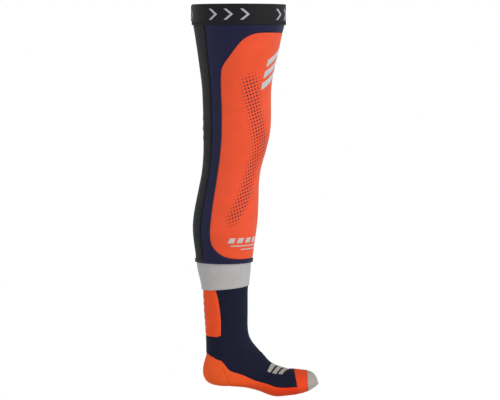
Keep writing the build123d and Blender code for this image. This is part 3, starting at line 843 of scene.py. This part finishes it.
def make_print_bars():
    """Plain bars low on the front: a row of slanted ones over two thin lines."""
    parts = []

    def bar(corners, step):
        parts.append(patch("bar", sleeve, edge_points(corners, step), spacing=step, wall=0.0006, lift=0.00022,
                           dip=0.0001, dip_width=0.0005, relief=slack))

    tall, pitch = 0.0105, 0.0195
    slanted = [(-0.0085, 0), (0.0045, 0), (0.0085, tall), (-0.0045, tall)]
    row = sleeve_along(-0.430)[0]
    for i in range(-4, 5):
        bar([(i * pitch + x, row + tall - y) for x, y in slanted], 0.002)
    for level, high, reach in ((-0.4445, 0.0024, 0.080), (-0.4515, 0.0020, 0.056)):
        start = sleeve_along(level)[0]
        bar([(-reach, start), (reach, start), (reach, start + high), (-reach, start + high)], 0.0015)
    made = Finish("bar_film", 0.42, 0.0, specular=0.45)
    made.colour(made.ramp(made.noise(0.006), (0.35, linear(205, 190, 190)), (0.65, linear(216, 202, 200))))
    made.raise_by(made.noise(0.0012), 0.00006)
    piece = merged("print_bars", parts)
    finish_piece(piece, made.material)
    bends_at_knee(piece)


# ---------------------------------------------------------------- stitches
def directions(skin, cloth):
    """The place, outward, down and around directions at places of the cloth."""
    along, angle = cloth[:, 1], cloth[:, 0] / skin.radius
    place, out = skin.frame_at(along, angle)
    nudge = np.full(len(cloth), 0.0005)
    down = skin.frame_at(along + nudge, angle)[0] - place
    down /= np.linalg.norm(down, axis=1)[:, None]
    around = np.cross(out, down)
    return place, out, down, -around


def stitches(name, skin, cloth, turns, long, wide, high, lift):
    """Short threads lying on the cloth: one at each place, turned from the way round the leg."""
    place, out, down, around = directions(skin, np.asarray(cloth))
    turns, lift = np.broadcast_to(turns, len(cloth)), np.broadcast_to(lift, len(cloth))
    ahead = around * np.cos(turns)[:, None] + down * np.sin(turns)[:, None]
    aside = down * np.cos(turns)[:, None] - around * np.sin(turns)[:, None]
    belts, sides = 5, 6
    shape = [(-1, 0, 0)]
    for i in range(1, belts):
        x = -cos(pi * i / belts)
        shape += [(x, cos(2 * pi * k / sides) * sin(pi * i / belts) ** 0.6,
                   sin(2 * pi * k / sides) * sin(pi * i / belts) ** 0.6) for k in range(sides)]
    shape.append((1, 0, 0))
    shape = np.array(shape)
    solid = [(0, 1 + k, 1 + (k + 1) % sides) for k in range(sides)]
    for i in range(belts - 2):
        a = 1 + i * sides
        solid += [(a + k, a + sides + k, a + sides + (k + 1) % sides, a + (k + 1) % sides)
                  for k in range(sides)]
    last, a = len(shape) - 1, 1 + (belts - 2) * sides
    solid += [(last, a + (k + 1) % sides, a + k) for k in range(sides)]
    points = (place[:, None] + out[:, None] * lift[:, None, None]
              + ahead[:, None] * (shape[:, :1] * long / 2)[None]
              + aside[:, None] * (shape[:, 1:2] * wide / 2)[None]
              + out[:, None] * (shape[:, 2:] * high / 2)[None]).reshape(-1, 3)
    faces = [tuple(i + n * len(shape) for i in face) for n in range(len(cloth)) for face in solid]
    flat = np.repeat(np.asarray(cloth), len(shape), axis=0)
    flat = flat + np.tile(shape[:, :2] * (long / 2, wide / 2), (len(cloth), 1))
    return new_object(name, points, faces, flat)


def thread(name, colour):
    made = Finish(name, 0.55, 0.3, shade(colour, 3.0), 0.35)
    x, y = made.axes(1.0)
    twist = made.math("SINE", made.math("MULTIPLY", made.math("ADD", x, made.math("MULTIPLY", y, 1.4)), 11.0))
    twist = made.math("MULTIPLY_ADD", twist, 0.5, 0.5)
    # painted shade and highlight: darker in the low parts of the twist and lighter on its crests
    made.colour(made.ramp(twist, (0.1, shade(colour, 0.7)), (0.8, shade(colour, 1.35))))
    made.raise_by(twist, 0.00008)
    return made.material


def spaced(points, gap):
    """Places gap apart along an open line, and the line's direction at each."""
    line = np.asarray(points, dtype=float)
    lengths = np.concatenate([[0], np.cumsum(np.linalg.norm(np.diff(line, axis=0), axis=1))])
    wanted = np.arange(gap / 2, lengths[-1], gap)
    places = np.column_stack([np.interp(wanted, lengths, line[:, i]) for i in (0, 1)])
    ahead = np.column_stack([np.interp(wanted + gap / 4, lengths, line[:, i]) for i in (0, 1)]) - places
    return places, np.arctan2(ahead[:, 1], ahead[:, 0])


BLACK_THREAD = thread("black_thread", linear(26, 26, 30))
NAVY_THREAD = thread("navy_thread", linear(24, 27, 62))


def make_back_seams():
    """A flat black seam down each edge of the mesh, with its threads crossing it."""
    levels = np.linspace(BAND_LOW.z + 0.001, HEM_BACK + 0.009, 90)
    middle = np.array([back_edge(z) for z in levels])
    tape = Finish("seam_tape", 0.7, 0.25, linear(110, 110, 120))
    tape.colour(tape.ramp(tape.noise(0.004), (0.3, shade(BLACK, 0.7)), (0.7, shade(BLACK, 1.4))))
    tape.raise_by(tape.knit(0.6, 0.5), 0.0001)
    strips, threads = [], []
    for side in (1, -1):
        line = middle * (side, 1)
        outline = np.vstack([line + (SEAM_HALF, 0), (line - (SEAM_HALF, 0))[::-1]])
        strips.append(patch("strip", sleeve, outline, spacing=0.0009, wall=0.0009, lift=0.0007, dip=0.0005,
                            dip_width=0.0006, relief=slack))
        places, way = spaced(line, 0.0016)
        slant = np.where(np.arange(len(places)) % 2, 0.35, -0.35) + way - pi / 2
        lift = 0.00075 + sleeve_relief(places)
        threads.append(stitches("threads", sleeve, places, slant, 0.0030, 0.0005, 0.0004, lift))
        for offset in (-0.0014, 0.0014):
            places, way = spaced(line + (offset, 0), 0.0022)
            lift = 0.0006 + sleeve_relief(places)
            threads.append(stitches("threads", sleeve, places, way, 0.0021, 0.0005, 0.0004, lift))
    piece = merged("back_seam_tape", strips)
    finish_piece(piece, tape.material, names("back_seam"))
    bends_at_knee(piece)
    piece = merged("back_seam_threads", threads)
    finish_piece(piece, BLACK_THREAD)
    bends_at_knee(piece)


def make_hem():
    """The sleeve's lower edge, folded up double and sewn: navy in front, black behind."""
    wide, deep = 0.0075, 0.0011

    def profile(angle, share, along):
        into = share * wide
        rise = deep * np.clip(into / 0.0006, 0, 1) ** 0.5
        to_end = np.clip((1 - share) * wide / 0.0016, 0, 1)
        relief = by_grid(sleeve_relief, sleeve, angle, along)
        return rise * 0.35 + deep * 0.75 * np.sqrt(1 - (1 - to_end) ** 2) + relief

    turn = back_edge(HEM_FRONT + 0.004)[0] / sleeve.radius
    navy = knitted("hem_jersey", NAVY, WALE, COURSE, 0.00012, 0.6, 0.12, 0.08, 0.8, linear(90, 100, 160))
    charcoal = knitted("hem_mesh", CHARCOAL, 1.2, 1.0, 0.0002, 0.8, 0.25, 0.2, 0.6)
    for name, material, slot, centre, reach, columns in (
        ("hem_fold_front", navy, "side_fabric", 0.0, turn, 150),
        ("hem_fold_back", charcoal, "back_mesh", pi, pi - turn, 60),
    ):
        piece = sleeve_grid(name, sleeve, lambda a: hem_along(a) - wide + 0.001,
                            lambda a: hem_along(a) + 0.001, 18, columns, profile, 0.0022, centre, reach)
        finish_piece(piece, material)
        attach(piece, "shin")
    rows = []
    for up in (0.0062, 0.0038):
        angles = np.arange(-pi, pi, 0.0030 / 0.052)
        cloth = np.array([(a * sleeve.radius, hem_along(a) + 0.001 - up) for a in angles])
        lift = 0.0013 + sleeve_relief(cloth)
        rows.append(stitches("row", sleeve, cloth, 0.0, 0.0024, 0.0006, 0.0005, lift))
    piece = merged("hem_threads", rows)
    finish_piece(piece, NAVY_THREAD, ["hem_stitching"])
    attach(piece, "shin")


# ---------------------------------------------------------------- thigh band
def make_band():
    """Woven elastic: ribs round the leg between two rounded selvedges."""
    high = BAND_HIGH.z - BAND_LOW.z
    ribs = 28

    def profile(angle, share, along):
        rib = 0.00013 * np.cos(share * ribs * 2 * pi)
        from_edge = np.minimum(share, 1 - share) * high
        selvedge = 0.0002 * bump(from_edge, 0.0016, 0.0012) - 0.0007 * np.exp(-from_edge / 0.0005)
        uneven = by_grid(lambda cloth: waves(cloth, BAND_RADIUS, 11, 0.07), band, angle, along)
        return rib + selvedge + 0.00018 * uneven

    made = Finish("band_elastic", 0.62, 0.12, linear(110, 108, 118), specular=0.25)
    x, y = made.axes(1.0)
    weave = made.math("SINE", made.math("MULTIPLY", x, 2 * pi / 0.8))
    weave = made.math("MULTIPLY", weave, made.math("SINE", made.math("MULTIPLY", y, 4.5)))
    weave = made.math("MULTIPLY_ADD", weave, 0.5, 0.5)
    # painted shade and highlight: darker where the weave is low and lighter where it is high
    made.colour(made.ramp(weave, (0.1, linear(12, 10, 13)), (0.9, linear(30, 27, 31))))
    made.raise_by(weave, 0.00012)
    piece = sleeve_grid("thigh_band_elastic", band, lambda a: 0.0, lambda a: high, ribs * 6, 240, profile,
                        BAND_WALL)
    finish_piece(piece, made.material, ["thigh_band"])
    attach(piece, "thigh")


MARK_PITCH, MARK_WIDE, MARK_TALL, MARK_STROKE = 0.032, 0.019, 0.021, 0.006
MARK_CENTRE, MARK_GROUPS, MARKS = radians(-102.5), 4, 3


def make_band_marks():
    """Plain arrowheads in groups of three round the band, woven in silver."""
    corners = np.array([(0, 0), (MARK_STROKE, 0), (MARK_WIDE, MARK_TALL / 2), (MARK_STROKE, MARK_TALL),
                        (0, MARK_TALL), (MARK_WIDE - MARK_STROKE, MARK_TALL / 2)])
    top = (BAND_HIGH.z - BAND_LOW.z - MARK_TALL) / 2
    parts = []
    for group in range(MARK_GROUPS):
        turn = MARK_CENTRE + group * 2 * pi / MARK_GROUPS
        for i in range(MARKS):
            start = (i - (MARKS - 1) / 2) * MARK_PITCH - MARK_WIDE / 2
            parts.append(patch("mark", band, corners + (start, top), spacing=0.0015, wall=0.0007, lift=0.0005,
                               dip=0.0003, dip_width=0.0006, centre=turn))
    made = Finish("mark_yarn", 0.5, 0.15, specular=0.4)
    yarn = made.math("SINE", made.math("MULTIPLY", made.axes(1.0)[1], 2 * pi / 0.7))
    yarn = made.math("MULTIPLY_ADD", yarn, 0.5, 0.5)
    # painted shade and highlight: darker in the low parts of the yarn and lighter on its ridges
    made.colour(made.ramp(yarn, (0.1, linear(170, 166, 184)), (0.8, linear(205, 201, 218))))
    made.raise_by(yarn, 0.00015)
    piece = merged("band_marks", parts)
    finish_piece(piece, made.material)
    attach(piece, "thigh")


def make_band_patch():
    """A folded patch over the band's join at the back, sewn all round."""
    low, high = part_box("band_join_patch")
    wide, top, end = high.y - low.y, BAND_HIGH.z - high.z, BAND_HIGH.z - low.z
    outline = [(-wide / 2, top), (wide / 2, top), (wide / 2, end), (-wide / 2, end)]

    def relief(cloth, edge):
        return 0.0005 * np.exp(-(edge / 0.0022) ** 2) + 0.0001 * waves(cloth, band.radius, 5, 0.012)

    piece = patch("join_patch", band, outline, spacing=0.0009, wall=0.0017, lift=0.0012, dip=0.0008,
                  dip_width=0.0007, relief=relief, centre=pi)
    finish_piece(piece, knitted("patch_twill", BLACK, 0.5, 0.6, 0.0001, 0.7, 0.2, 0.1, 0.6),
                 ["band_join_patch"])
    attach(piece, "thigh")
    inset = 0.0024
    corners = [(-wide / 2 + inset, top + inset), (wide / 2 - inset, top + inset),
               (wide / 2 - inset, end - inset), (-wide / 2 + inset, end - inset)]
    places, way = spaced([*corners, corners[0]], 0.0024)
    places = places + (pi * band.radius, 0)
    piece = stitches("join_patch_threads", band, places, way, 0.0020, 0.0005, 0.0004, 0.0014)
    finish_piece(piece, BLACK_THREAD)
    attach(piece, "thigh")


def make_band_stitches():
    """Two rows of zigzag round the band's lower edge, which sew the sleeve to it."""
    low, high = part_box("band_stitching")
    gap = 0.0022
    count = int(2 * pi * BAND_RADIUS / gap / 2) * 2
    rows = []
    for level in (low.z + 0.0013, high.z - 0.0013):
        places = np.array([(i * 2 * pi * BAND_RADIUS / count, BAND_HIGH.z - level) for i in range(count)])
        slant = np.where(np.arange(count) % 2, 0.75, -0.75)
        rows.append(stitches("row", band, places, slant, 0.0032, 0.0005, 0.0004, 0.00015))
    piece = merged("band_threads", rows)
    finish_piece(piece, BLACK_THREAD, ["band_stitching"])
    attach(piece, "thigh")


def make_grip():
    """The silicone tape inside the band: a thin backing with three wavy beads."""
    low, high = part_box("grip_tape")
    top, tall, wall = BAND_HIGH.z - high.z, high.z - low.z, 0.0008
    silicone = Finish("silicone_beads", 0.28, 0.0, specular=0.55)
    silicone.colour(silicone.ramp(silicone.noise(0.01), (0.3, linear(44, 44, 48)), (0.7, linear(58, 58, 62))))
    silicone.raise_by(silicone.noise(0.002), 0.00008)

    def backing(angle, share, along):
        return 0.00035 - 0.0002 * np.exp(-np.minimum(share, 1 - share) * tall / 0.0006)

    def bead(angle, share, along):
        return 0.0003 + (wall - 0.0003) * np.sqrt(np.clip(1 - (2 * share - 1) ** 2, 0, 1))

    def path(i, shift):
        middle = top + tall * (0.2 + 0.3 * i)
        return lambda a: middle + 0.0016 * sin(a * waves_round + i * pi) + shift

    waves_round, half = 60, 0.0012
    parts = [sleeve_grid("backing", lining, lambda a: top, lambda a: top + tall, 24, 240, backing, 0.0)]
    for i in range(3):
        parts.append(sleeve_grid("bead", lining, path(i, -half), path(i, half), 8, 720, bead, 0.0))
    piece = merged("grip_beads", parts)
    finish_piece(piece, silicone.material, ["grip_tape"])
    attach(piece, "thigh")


# ---------------------------------------------------------------- knitted sock
def foot_x(share):
    """A share of the foot's length, from the heel to the toes."""
    return HEEL_X + (TOE_X - HEEL_X) * share


def heel_z(share):
    """A share of the way down from the ankle's joint to the underside of the heel."""
    return ANKLE.z + (HEEL_Z - ANKLE.z) * share


HEEL_CORNER = (foot_x(0.161), heel_z(0.30))
SOLE_END = (foot_x(0.817), heel_z(0.94))
SOLE_EDGE = [HEEL_CORNER, (foot_x(0.20), heel_z(0.445)), (foot_x(0.286), heel_z(0.61)),
             (foot_x(0.406), heel_z(0.74)), (foot_x(0.578), heel_z(0.89)),
             (foot_x(0.724), heel_z(0.955)), SOLE_END]
HEEL_EDGE = [(foot_x(0.031), FOOT_TOP), (foot_x(0.085), FOOT_TOP - 0.006),
             (foot_x(0.1136), FOOT_TOP - 0.0094), HEEL_CORNER]
PAD_LOW, PAD_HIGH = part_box("calf_pad")


def crossing(skin, angle, side, start, end):
    """How far along a tube, at an angle, the value side(place) first gets above 0."""
    alongs = np.linspace(start, end, 300)
    values = side(skin.at(alongs, np.full(300, float(angle))))
    i = int(np.argmax(values > 0))
    if i == 0:
        return float(alongs[0])
    share = values[i - 1] / (values[i - 1] - values[i])
    return float(alongs[i - 1] + (alongs[i] - alongs[i - 1]) * share)


def sock_along(z):
    return float(np.interp(sock_row(0, z), np.arange(len(sock.along)), sock.along))


SHAFT_END, FOOT_START = sock_along(ANKLE.z), float(sock.along[SHAFT_ROWS + FAN_ROWS])
CUFF_SLOPE = 0.008 / 0.088


def cuff_side(places):
    """Above 0 below the cuff's lower edge, which rises to the front."""
    return CUFF_LOW.z + (places[:, 0] - CUFF_LOW.x) * CUFF_SLOPE - places[:, 2]


def toe_side(length, lean):
    """Above 0 in front of a line across the toes, length behind their tip."""
    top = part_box("toe_band")[1].z
    return lambda places: places[:, 0] - (TOE_X - length + (top - places[:, 2]) * lean)


def toe_line(length, lean):
    """Finds that line's place at an angle."""
    side = toe_side(length, lean)
    return lambda a: crossing(sock, a, side, FOOT_START, sock.along[-1] - 0.001)


def line_of(find):
    """A table of a line round the sock, one place for each angle, to look up fast."""
    angles = np.linspace(-pi, pi, 181)
    found = np.array([find(a) for a in angles])
    return lambda a: float(np.interp((a + pi) % (2 * pi) - pi, angles, found))


TOE_CAP_LENGTH = TOE_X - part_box("toe_cap")[0].x
TOE_BAND_LENGTH = TOE_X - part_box("toe_band")[0].x
cuff_edge = line_of(lambda a: crossing(sock, a, cuff_side, 0.0, SHAFT_END))
toe_start = line_of(toe_line(TOE_BAND_LENGTH, 0.2))
cap_start = line_of(toe_line(TOE_CAP_LENGTH, 0.05))


def heel_side(places):
    """Above 0 in front of the heel pocket's lower edge."""
    return (places[:, 0] - HEEL_CORNER[0]) - (HEEL_CORNER[1] - places[:, 2]) * 0.26


def sock_relief(cloth, centre=0.0):
    """Creases in front of the ankle and above the heel, and a slight unevenness."""
    angle, along = cloth[:, 0] / sock.radius + centre, cloth[:, 1]
    front, side = np.clip(np.cos(angle), 0, 1), np.abs(np.sin(angle))
    total = 0.00022 * waves(cloth, sock.radius, 21, 0.045)
    for offset, size, slope in ((-0.016, 0.0002, 0.010), (-0.004, 0.0004, 0.006), (0.009, 0.0003, 0.0)):
        total += size * front ** 1.2 * bump(along, SHAFT_END + 0.012 + offset + slope * side, 0.0038)
    for offset, size in ((-0.020, 0.0002), (-0.006, 0.0003)):
        total += size * np.clip(-np.cos(angle), 0, 1) * bump(along, SHAFT_END + offset, 0.004)
    return total


def creases(cloth, edge):
    """The sock's relief, in the form that patch asks for."""
    return sock_relief(cloth)


def creases_behind(cloth, edge):
    """The same for a piece that is measured from the back of the leg."""
    return sock_relief(cloth, pi)


def pad_outline():
    """Half of the calf pad's edge, on the +Y side: from the cuff down to the middle of its lower edge."""
    front, end, corner = PAD_HIGH.x, PAD_LOW.z, 0.008
    top = CUFF_LOW.z + 0.001
    long = top - end
    line = [(front - 0.010, top), (front - 0.006, top - long * 0.15), (front - 0.0012, top - long * 0.5),
            (front, end + corner), (front - corner * 0.3, end + corner * 0.3), (front - corner, end)]
    half = smooth([on_sock(x, z) for x, z in line], 6)
    half[0, 1] = cuff_edge(half[0, 0] / sock.radius)
    return np.vstack([half, [(HALF_TURN, half[-1, 1])]])


def both_sides(half):
    """A closed outline, from its half on the +Y side."""
    return np.vstack([half, half[::-1] * (-1, 1)])


def from_behind(line):
    """The same places, measured from the back of the leg instead of the front."""
    return np.asarray(line) - (HALF_TURN, 0)


def cushion_lines():
    """The heel's upper edge, the sole's upper edge, and half of the lines across the heel and the toes."""
    heel = smooth([on_sock(x, z) for x, z in HEEL_EDGE], 6)
    heel[0, 0] = HALF_TURN
    sole = smooth([on_sock(x, z) for x, z in SOLE_EDGE], 8)
    corner = sole[-1, 0] / sock.radius
    sole[-1, 1] = toe_start(corner)
    gore = []
    for angle in np.linspace(heel[-1, 0] / sock.radius, pi, 24):
        along = crossing(sock, angle, heel_side, heel[-1, 1] - 0.002, FOOT_START + 0.03)
        gore.append((angle * sock.radius, along))
    gore[0] = tuple(heel[-1])
    toe = [(angle * sock.radius, toe_start(angle)) for angle in np.linspace(corner, pi, 20)]
    return heel, sole, np.array(gore), np.array(toe)


def make_cuff():
    """The ribbed cuff, whose upper end is inside the sleeve."""
    ribs = 104

    def profile(angle, share, along):
        rib = 0.00022 * np.cos(angle * ribs)
        to_end = (1 - share) * 0.083
        hem = 0.0008 * np.sqrt(np.clip(1 - np.clip(1 - to_end / 0.0012, 0, 1) ** 2, 0, 1))
        hem = hem + 0.0016 * np.exp(-to_end / 0.014) * (1 - 0.4 * np.cos(angle))
        uneven = by_grid(lambda cloth: waves(cloth, sock.radius, 8, 0.04), sock, angle, along)
        return rib * np.clip(to_end / 0.002, 0.25, 1) + hem + 0.0002 * uneven

    made = Finish("cuff_rib_knit", 0.85, 0.25, linear(230, 230, 235))
    x, y = made.axes(1.0)
    rib = made.math("COSINE", made.math("MULTIPLY", x, ribs / (sock.radius * 1000)))
    rib = made.math("MULTIPLY_ADD", rib, 0.5, 0.5)
    rows = made.math("MULTIPLY_ADD", made.math("SINE", made.math("MULTIPLY", y, 2 * pi / 0.9)), 0.5, 0.5)
    base_tone = made.ramp(made.noise(0.02), (0.3, shade(CUFF_GREY, 0.97)), (0.7, shade(CUFF_GREY, 1.03)))
    # painted shade: the colour is darker in the grooves between the ribs and between the rows
    groove_shade = made.math("MULTIPLY_ADD", rib, 0.8, made.math("MULTIPLY", rows, 0.2))
    groove_shade = made.ramp(groove_shade, (0.0, (0.88, 0.88, 0.88, 1)), (0.6, WHITE))
    made.colour(made.mix(1.0, base_tone, groove_shade, "MULTIPLY"))
    made.raise_by(made.math("MULTIPLY_ADD", rows, 0.5, rib), 0.0002)
    piece = sleeve_grid("cuff_ribbed", sock, lambda a: 0.0005, cuff_edge, 64, ribs * 6, profile, KNIT_WALL)
    finish_piece(piece, made.material, ["cuff"])
    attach(piece, "shin")


def under_cuff(start, end, count):
    """Places along the cuff's lower edge, from one angle to another."""
    return [(angle * sock.radius, cuff_edge(angle) - 0.0004) for angle in np.linspace(start, end, count)]


def make_sock_body():
    """The plain knit of the shaft and the instep: one tube, cut away for the pads, the sole and the toes."""
    pad, (heel, sole, _, _) = pad_outline(), cushion_lines()
    start = under_cuff(0, pad[0, 0] / sock.radius, 40)
    end = [(angle * sock.radius, toe_start(angle)) for angle in np.linspace(sole[-1, 0] / sock.radius, 0, 40)]
    outline = with_mirror(np.vstack([start[:-1], pad, heel, sole[1:], end[1:]]))
    piece = patch("sock_knit_body", sock, outline, spacing=0.0022, wall=KNIT_WALL, dip=0.0003,
                  dip_width=0.0012, relief=creases)
    yarn = knitted("sock_yarn", INK, 1.15, 0.95, 0.00022, 0.85, 0.10, 0.10, 0.62, linear(80, 86, 140))
    finish_piece(piece, yarn, ["shaft_knit", "ankle_knit", "instep_knit"])
    bends_at_ankle(piece)


def terry(name, colour, size, depth, painted_shade_colour=None, reach=(0.0, 1.0)):
    """Looped terry knit, with short fuzz and painted shade that darkens the low parts of its loops. Given a
    second colour, which is painted shade, it changes to it between two lengths along the sock."""
    made = Finish(name, 0.95, 0.5, linear(255, 130, 80), 0.2)
    loops = made.knit(size, size * 0.8, 0.5)
    speckle = made.noise(0.0014, 2.0, 0.7)
    height = made.math("MULTIPLY_ADD", speckle, 0.7, loops)
    base_tone = made.ramp(made.noise(0.025), (0.3, shade(colour, 0.95)), (0.7, shade(colour, 1.05)))
    # painted shade: the colour turns to the darker, redder one along the sock
    if painted_shade_colour:
        share = made.math("DIVIDE", made.math("SUBTRACT", made.axes(0.001)[1], reach[0]), reach[1] - reach[0])
        base_tone = made.mix(made.ramp(share, (0.0, (0, 0, 0, 1)), (1.0, WHITE)), base_tone, painted_shade_colour)
    # painted shade: the colour is darker in the low parts of the loops
    deep = made.ramp(height, (0.2, (0.93, 0.88, 0.88, 1)), (0.7, WHITE))
    made.colour(made.mix(1.0, base_tone, deep, "MULTIPLY"))
    made.raise_by(height, depth)
    return made.material


def cushion(name, half, spacing, rise, reach, dip=0.0003):
    """A cushioned zone behind, from the half of its outline on the +Y side. Its middle stands rise higher."""
    outline = both_sides(from_behind(half))

    def swell(cloth, edge):
        return rise * (1 - np.exp(-(edge / reach) ** 1.5)) + sock_relief(cloth, pi)

    return patch(name, sock, outline, spacing=spacing, wall=CUSHION_WALL, dip=dip, dip_width=0.0010,
                 relief=swell, centre=pi)


def make_calf_pad():
    """A cushioned zone at the back of the shaft, thicker than the plain knit round it."""
    pad = pad_outline()
    top = under_cuff(pi, pad[0, 0] / sock.radius, 24)
    piece = cushion("calf_pad_terry", np.vstack([top[1:-1], pad[:-1]]), 0.0016, 0.0011, 0.005, 0.0004)
    finish_piece(piece, terry("pad_terry", ORANGE, 1.3, 0.00025), ["calf_pad"])
    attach(piece, "shin")
    top_mark, pitch, half, drop, thick = cuff_edge(pi) + 0.012, 0.0135, 0.011, 0.008, 0.0045
    parts = []
    for i in range(5):
        row = top_mark + i * pitch
        corners = [(0, row), (half, row + drop), (half, row + drop + thick), (0, row + thick),
                   (-half, row + drop + thick), (-half, row + drop)]
        parts.append(patch("mark", sock, corners, spacing=0.0012, wall=0.0008, lift=0.0016, dip=0.0002,
                           dip_width=0.0005, relief=creases_behind, centre=pi))
    piece = merged("calf_pad_marks", parts)
    finish_piece(piece, knitted("mark_knit", SILVER, WALE, COURSE, 0.00015, 0.8, 0.3, 0.05, 0.8))
    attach(piece, "shin")


def make_heel():
    """The heel pocket in looped knit, and a short row of linking at the corner of its gore."""
    heel, _, gore, _ = cushion_lines()
    piece = cushion("heel_terry", np.vstack([heel, gore[1:]]), 0.0016, 0.0004, 0.004)
    finish_piece(piece, terry("heel_loops", HEEL_ORANGE, 1.5, 0.0003), ["heel_cup"])
    bends_at_ankle(piece)
    corner = np.array(on_sock(*HEEL_CORNER))
    ahead = np.array(on_sock(foot_x(0.085), heel_z(0.47)))
    places, way = spaced([corner + (0, 0.0015), (corner + ahead) / 2, ahead], 0.0017)
    threads = []
    for side in (1, -1):
        line = places * (side, 1)
        lift = 0.0003 + sock_relief(line)
        threads.append(stitches("gore", sock, line, way * side + pi / 2, 0.0016, 0.0011, 0.0007, lift))
    piece = merged("heel_gore_linking", threads)
    finish_piece(piece, thread("heel_thread", shade(HEEL_ORANGE, 0.9)))
    bends_at_ankle(piece)


def make_sole():
    """The cushioned sole, whose colour turns darker and redder from the heel to the toes as painted shade."""
    _, sole, gore, toe = cushion_lines()
    ahead = np.vstack([sole, toe[1:]])
    piece = cushion("sole_terry", np.vstack([ahead[::-1], gore[1:]]), 0.0018, 0.0004, 0.004)
    # painted shade: where along the sole it darkens and reddens towards the toes
    painted_shade_span = (FOOT_START - 0.06, FOOT_START + 0.03)
    loops = terry("sole_loops", HEEL_ORANGE, 1.5, 0.0003, SOLE_PAINTED_SHADE_ORANGE, painted_shade_span)
    finish_piece(piece, loops, ["sole_cushion"])
    bends_at_ankle(piece)


def make_toes():
    """The toe band, the toe cap and the linking between them."""
    def profile(angle, share, along):
        ends = np.minimum(share, 1 - share)
        return by_grid(sock_relief, sock, angle, along) - 0.0003 * np.exp(-(ends * 0.024 / 0.001) ** 2)

    piece = sleeve_grid("toe_band_terry", sock, toe_start, cap_start, 22, 168, profile, CUSHION_WALL)
    finish_piece(piece, terry("toe_loops", TOE_ORANGE, 1.3, 0.00025), ["toe_band"])
    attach(piece, "foot")
    last = float(sock.along[-1]) - 0.0010

    def cap_profile(angle, share, along):
        relief = by_grid(sock_relief, sock, angle, along) * (1 - share)
        return relief - 0.0003 * np.exp(-(share * 0.03 / 0.001) ** 2)

    piece = sleeve_grid("toe_cap_knit", sock, cap_start, lambda a: last, 40, 168, cap_profile, CUSHION_WALL,
                        tip=True)
    finish_piece(piece, knitted("toe_yarn", TOE_GREY, 1.1, 0.9, 0.00025, 0.9, 0.25, 0.05, 0.84),
                 ["toe_cap"])
    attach(piece, "foot")
    count = 150
    cloth = np.array([(a * sock.radius, cap_start(a)) for a in np.linspace(-pi, pi, count, endpoint=False)])
    slant = np.where(np.arange(count) % 2, 1.15, 1.95)
    lift = 0.00015 + sock_relief(cloth)
    piece = stitches("toe_linking", sock, cloth, slant, 0.0026, 0.0008, 0.0007, lift)
    finish_piece(piece, thread("toe_thread", shade(TOE_ORANGE, 0.8)), ["toe_seam"])
    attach(piece, "foot")


def make_foot_emblem():
    """Three arrowheads on the instep, pointing to the toes, knitted in grey."""
    parts = []
    first = crossing(sock, 0.0, lambda places: places[:, 0] - foot_x(0.60), SHAFT_END, FOOT_START + 0.05)
    for i in range(3):
        row = first + i * 0.0125
        half, sweep, thick = 0.045 - i * 0.002, -0.014, 0.0085
        corners = [(0, row), (half, row + sweep), (half, row + sweep + thick), (0, row + thick),
                   (-half, row + sweep + thick), (-half, row + sweep)]
        parts.append(patch("mark", sock, corners, spacing=0.0014, wall=0.0008, lift=0.0005, dip=0.0003,
                           dip_width=0.0006, relief=creases))
    piece = merged("foot_emblem_knit", parts)
    yarn = knitted("emblem_yarn", TOE_GREY, WALE, COURSE, 0.0002, 0.8, 0.3, 0.05, 0.8)
    finish_piece(piece, yarn)
    bends_at_ankle(piece)


for make in (make_front_panel, make_side_panel, make_back_mesh, make_emblem, make_dots, make_print_bars,
             make_back_seams, make_hem, make_band, make_band_marks, make_band_patch, make_band_stitches,
             make_grip, make_cuff, make_sock_body, make_calf_pad, make_heel, make_sole, make_toes,
             make_foot_emblem):
    make()


# ---------------------------------------------------------------- camera and light
def point_at(thing, target):
    thing.rotation_euler = (Vector(target) - thing.location).to_track_quat("-Z", "Y").to_euler()


def make_camera():
    lens = bpy.data.cameras.new("camera")
    lens.sensor_width = 36.0
    lens.lens = 138.63
    camera = bpy.data.objects.new("camera", lens)
    camera.location = (0.0216, -3.75, -0.06)
    point_at(camera, (0.0216, 0.0, -0.3601))
    bpy.context.scene.collection.objects.link(camera)
    bpy.context.scene.camera = camera


def make_light(name, place, target, size, power):
    light = bpy.data.lights.new(name, "AREA")
    light.shape = "DISK"
    light.size, light.energy = size, power
    lamp = bpy.data.objects.new(name, light)
    lamp.location = place
    point_at(lamp, target)
    bpy.context.scene.collection.objects.link(lamp)


def make_stage():
    """Two lamps, and a world that is white near the horizon and grey above and below."""
    bpy.context.scene.view_settings.view_transform = "Standard"
    world = bpy.data.worlds.new("studio")
    world.use_nodes = True
    tree = world.node_tree
    around = tree.nodes.new("ShaderNodeTexCoord")
    split = tree.nodes.new("ShaderNodeSeparateXYZ")
    height = tree.nodes.new("ShaderNodeMath")
    height.operation = "ABSOLUTE"
    sky = tree.nodes.new("ShaderNodeValToRGB")
    sky.color_ramp.elements[0].position, sky.color_ramp.elements[0].color = 0.24, WHITE
    sky.color_ramp.elements[1].position, sky.color_ramp.elements[1].color = 0.45, (0.34, 0.34, 0.34, 1)
    tree.links.new(around.outputs["Generated"], split.inputs[0])
    tree.links.new(split.outputs[2], height.inputs[0])
    tree.links.new(height.outputs[0], sky.inputs[0])
    tree.links.new(sky.outputs[0], tree.nodes["Background"].inputs[0])
    bpy.context.scene.world = world
    middle = (0, 0, -0.36)
    make_light("key", (2.5, -2.0, 0.9), middle, 1.4, 40)
    make_light("fill", (-2.0, -2.6, 0.3), middle, 1.8, 4)


make_camera()
make_stage()
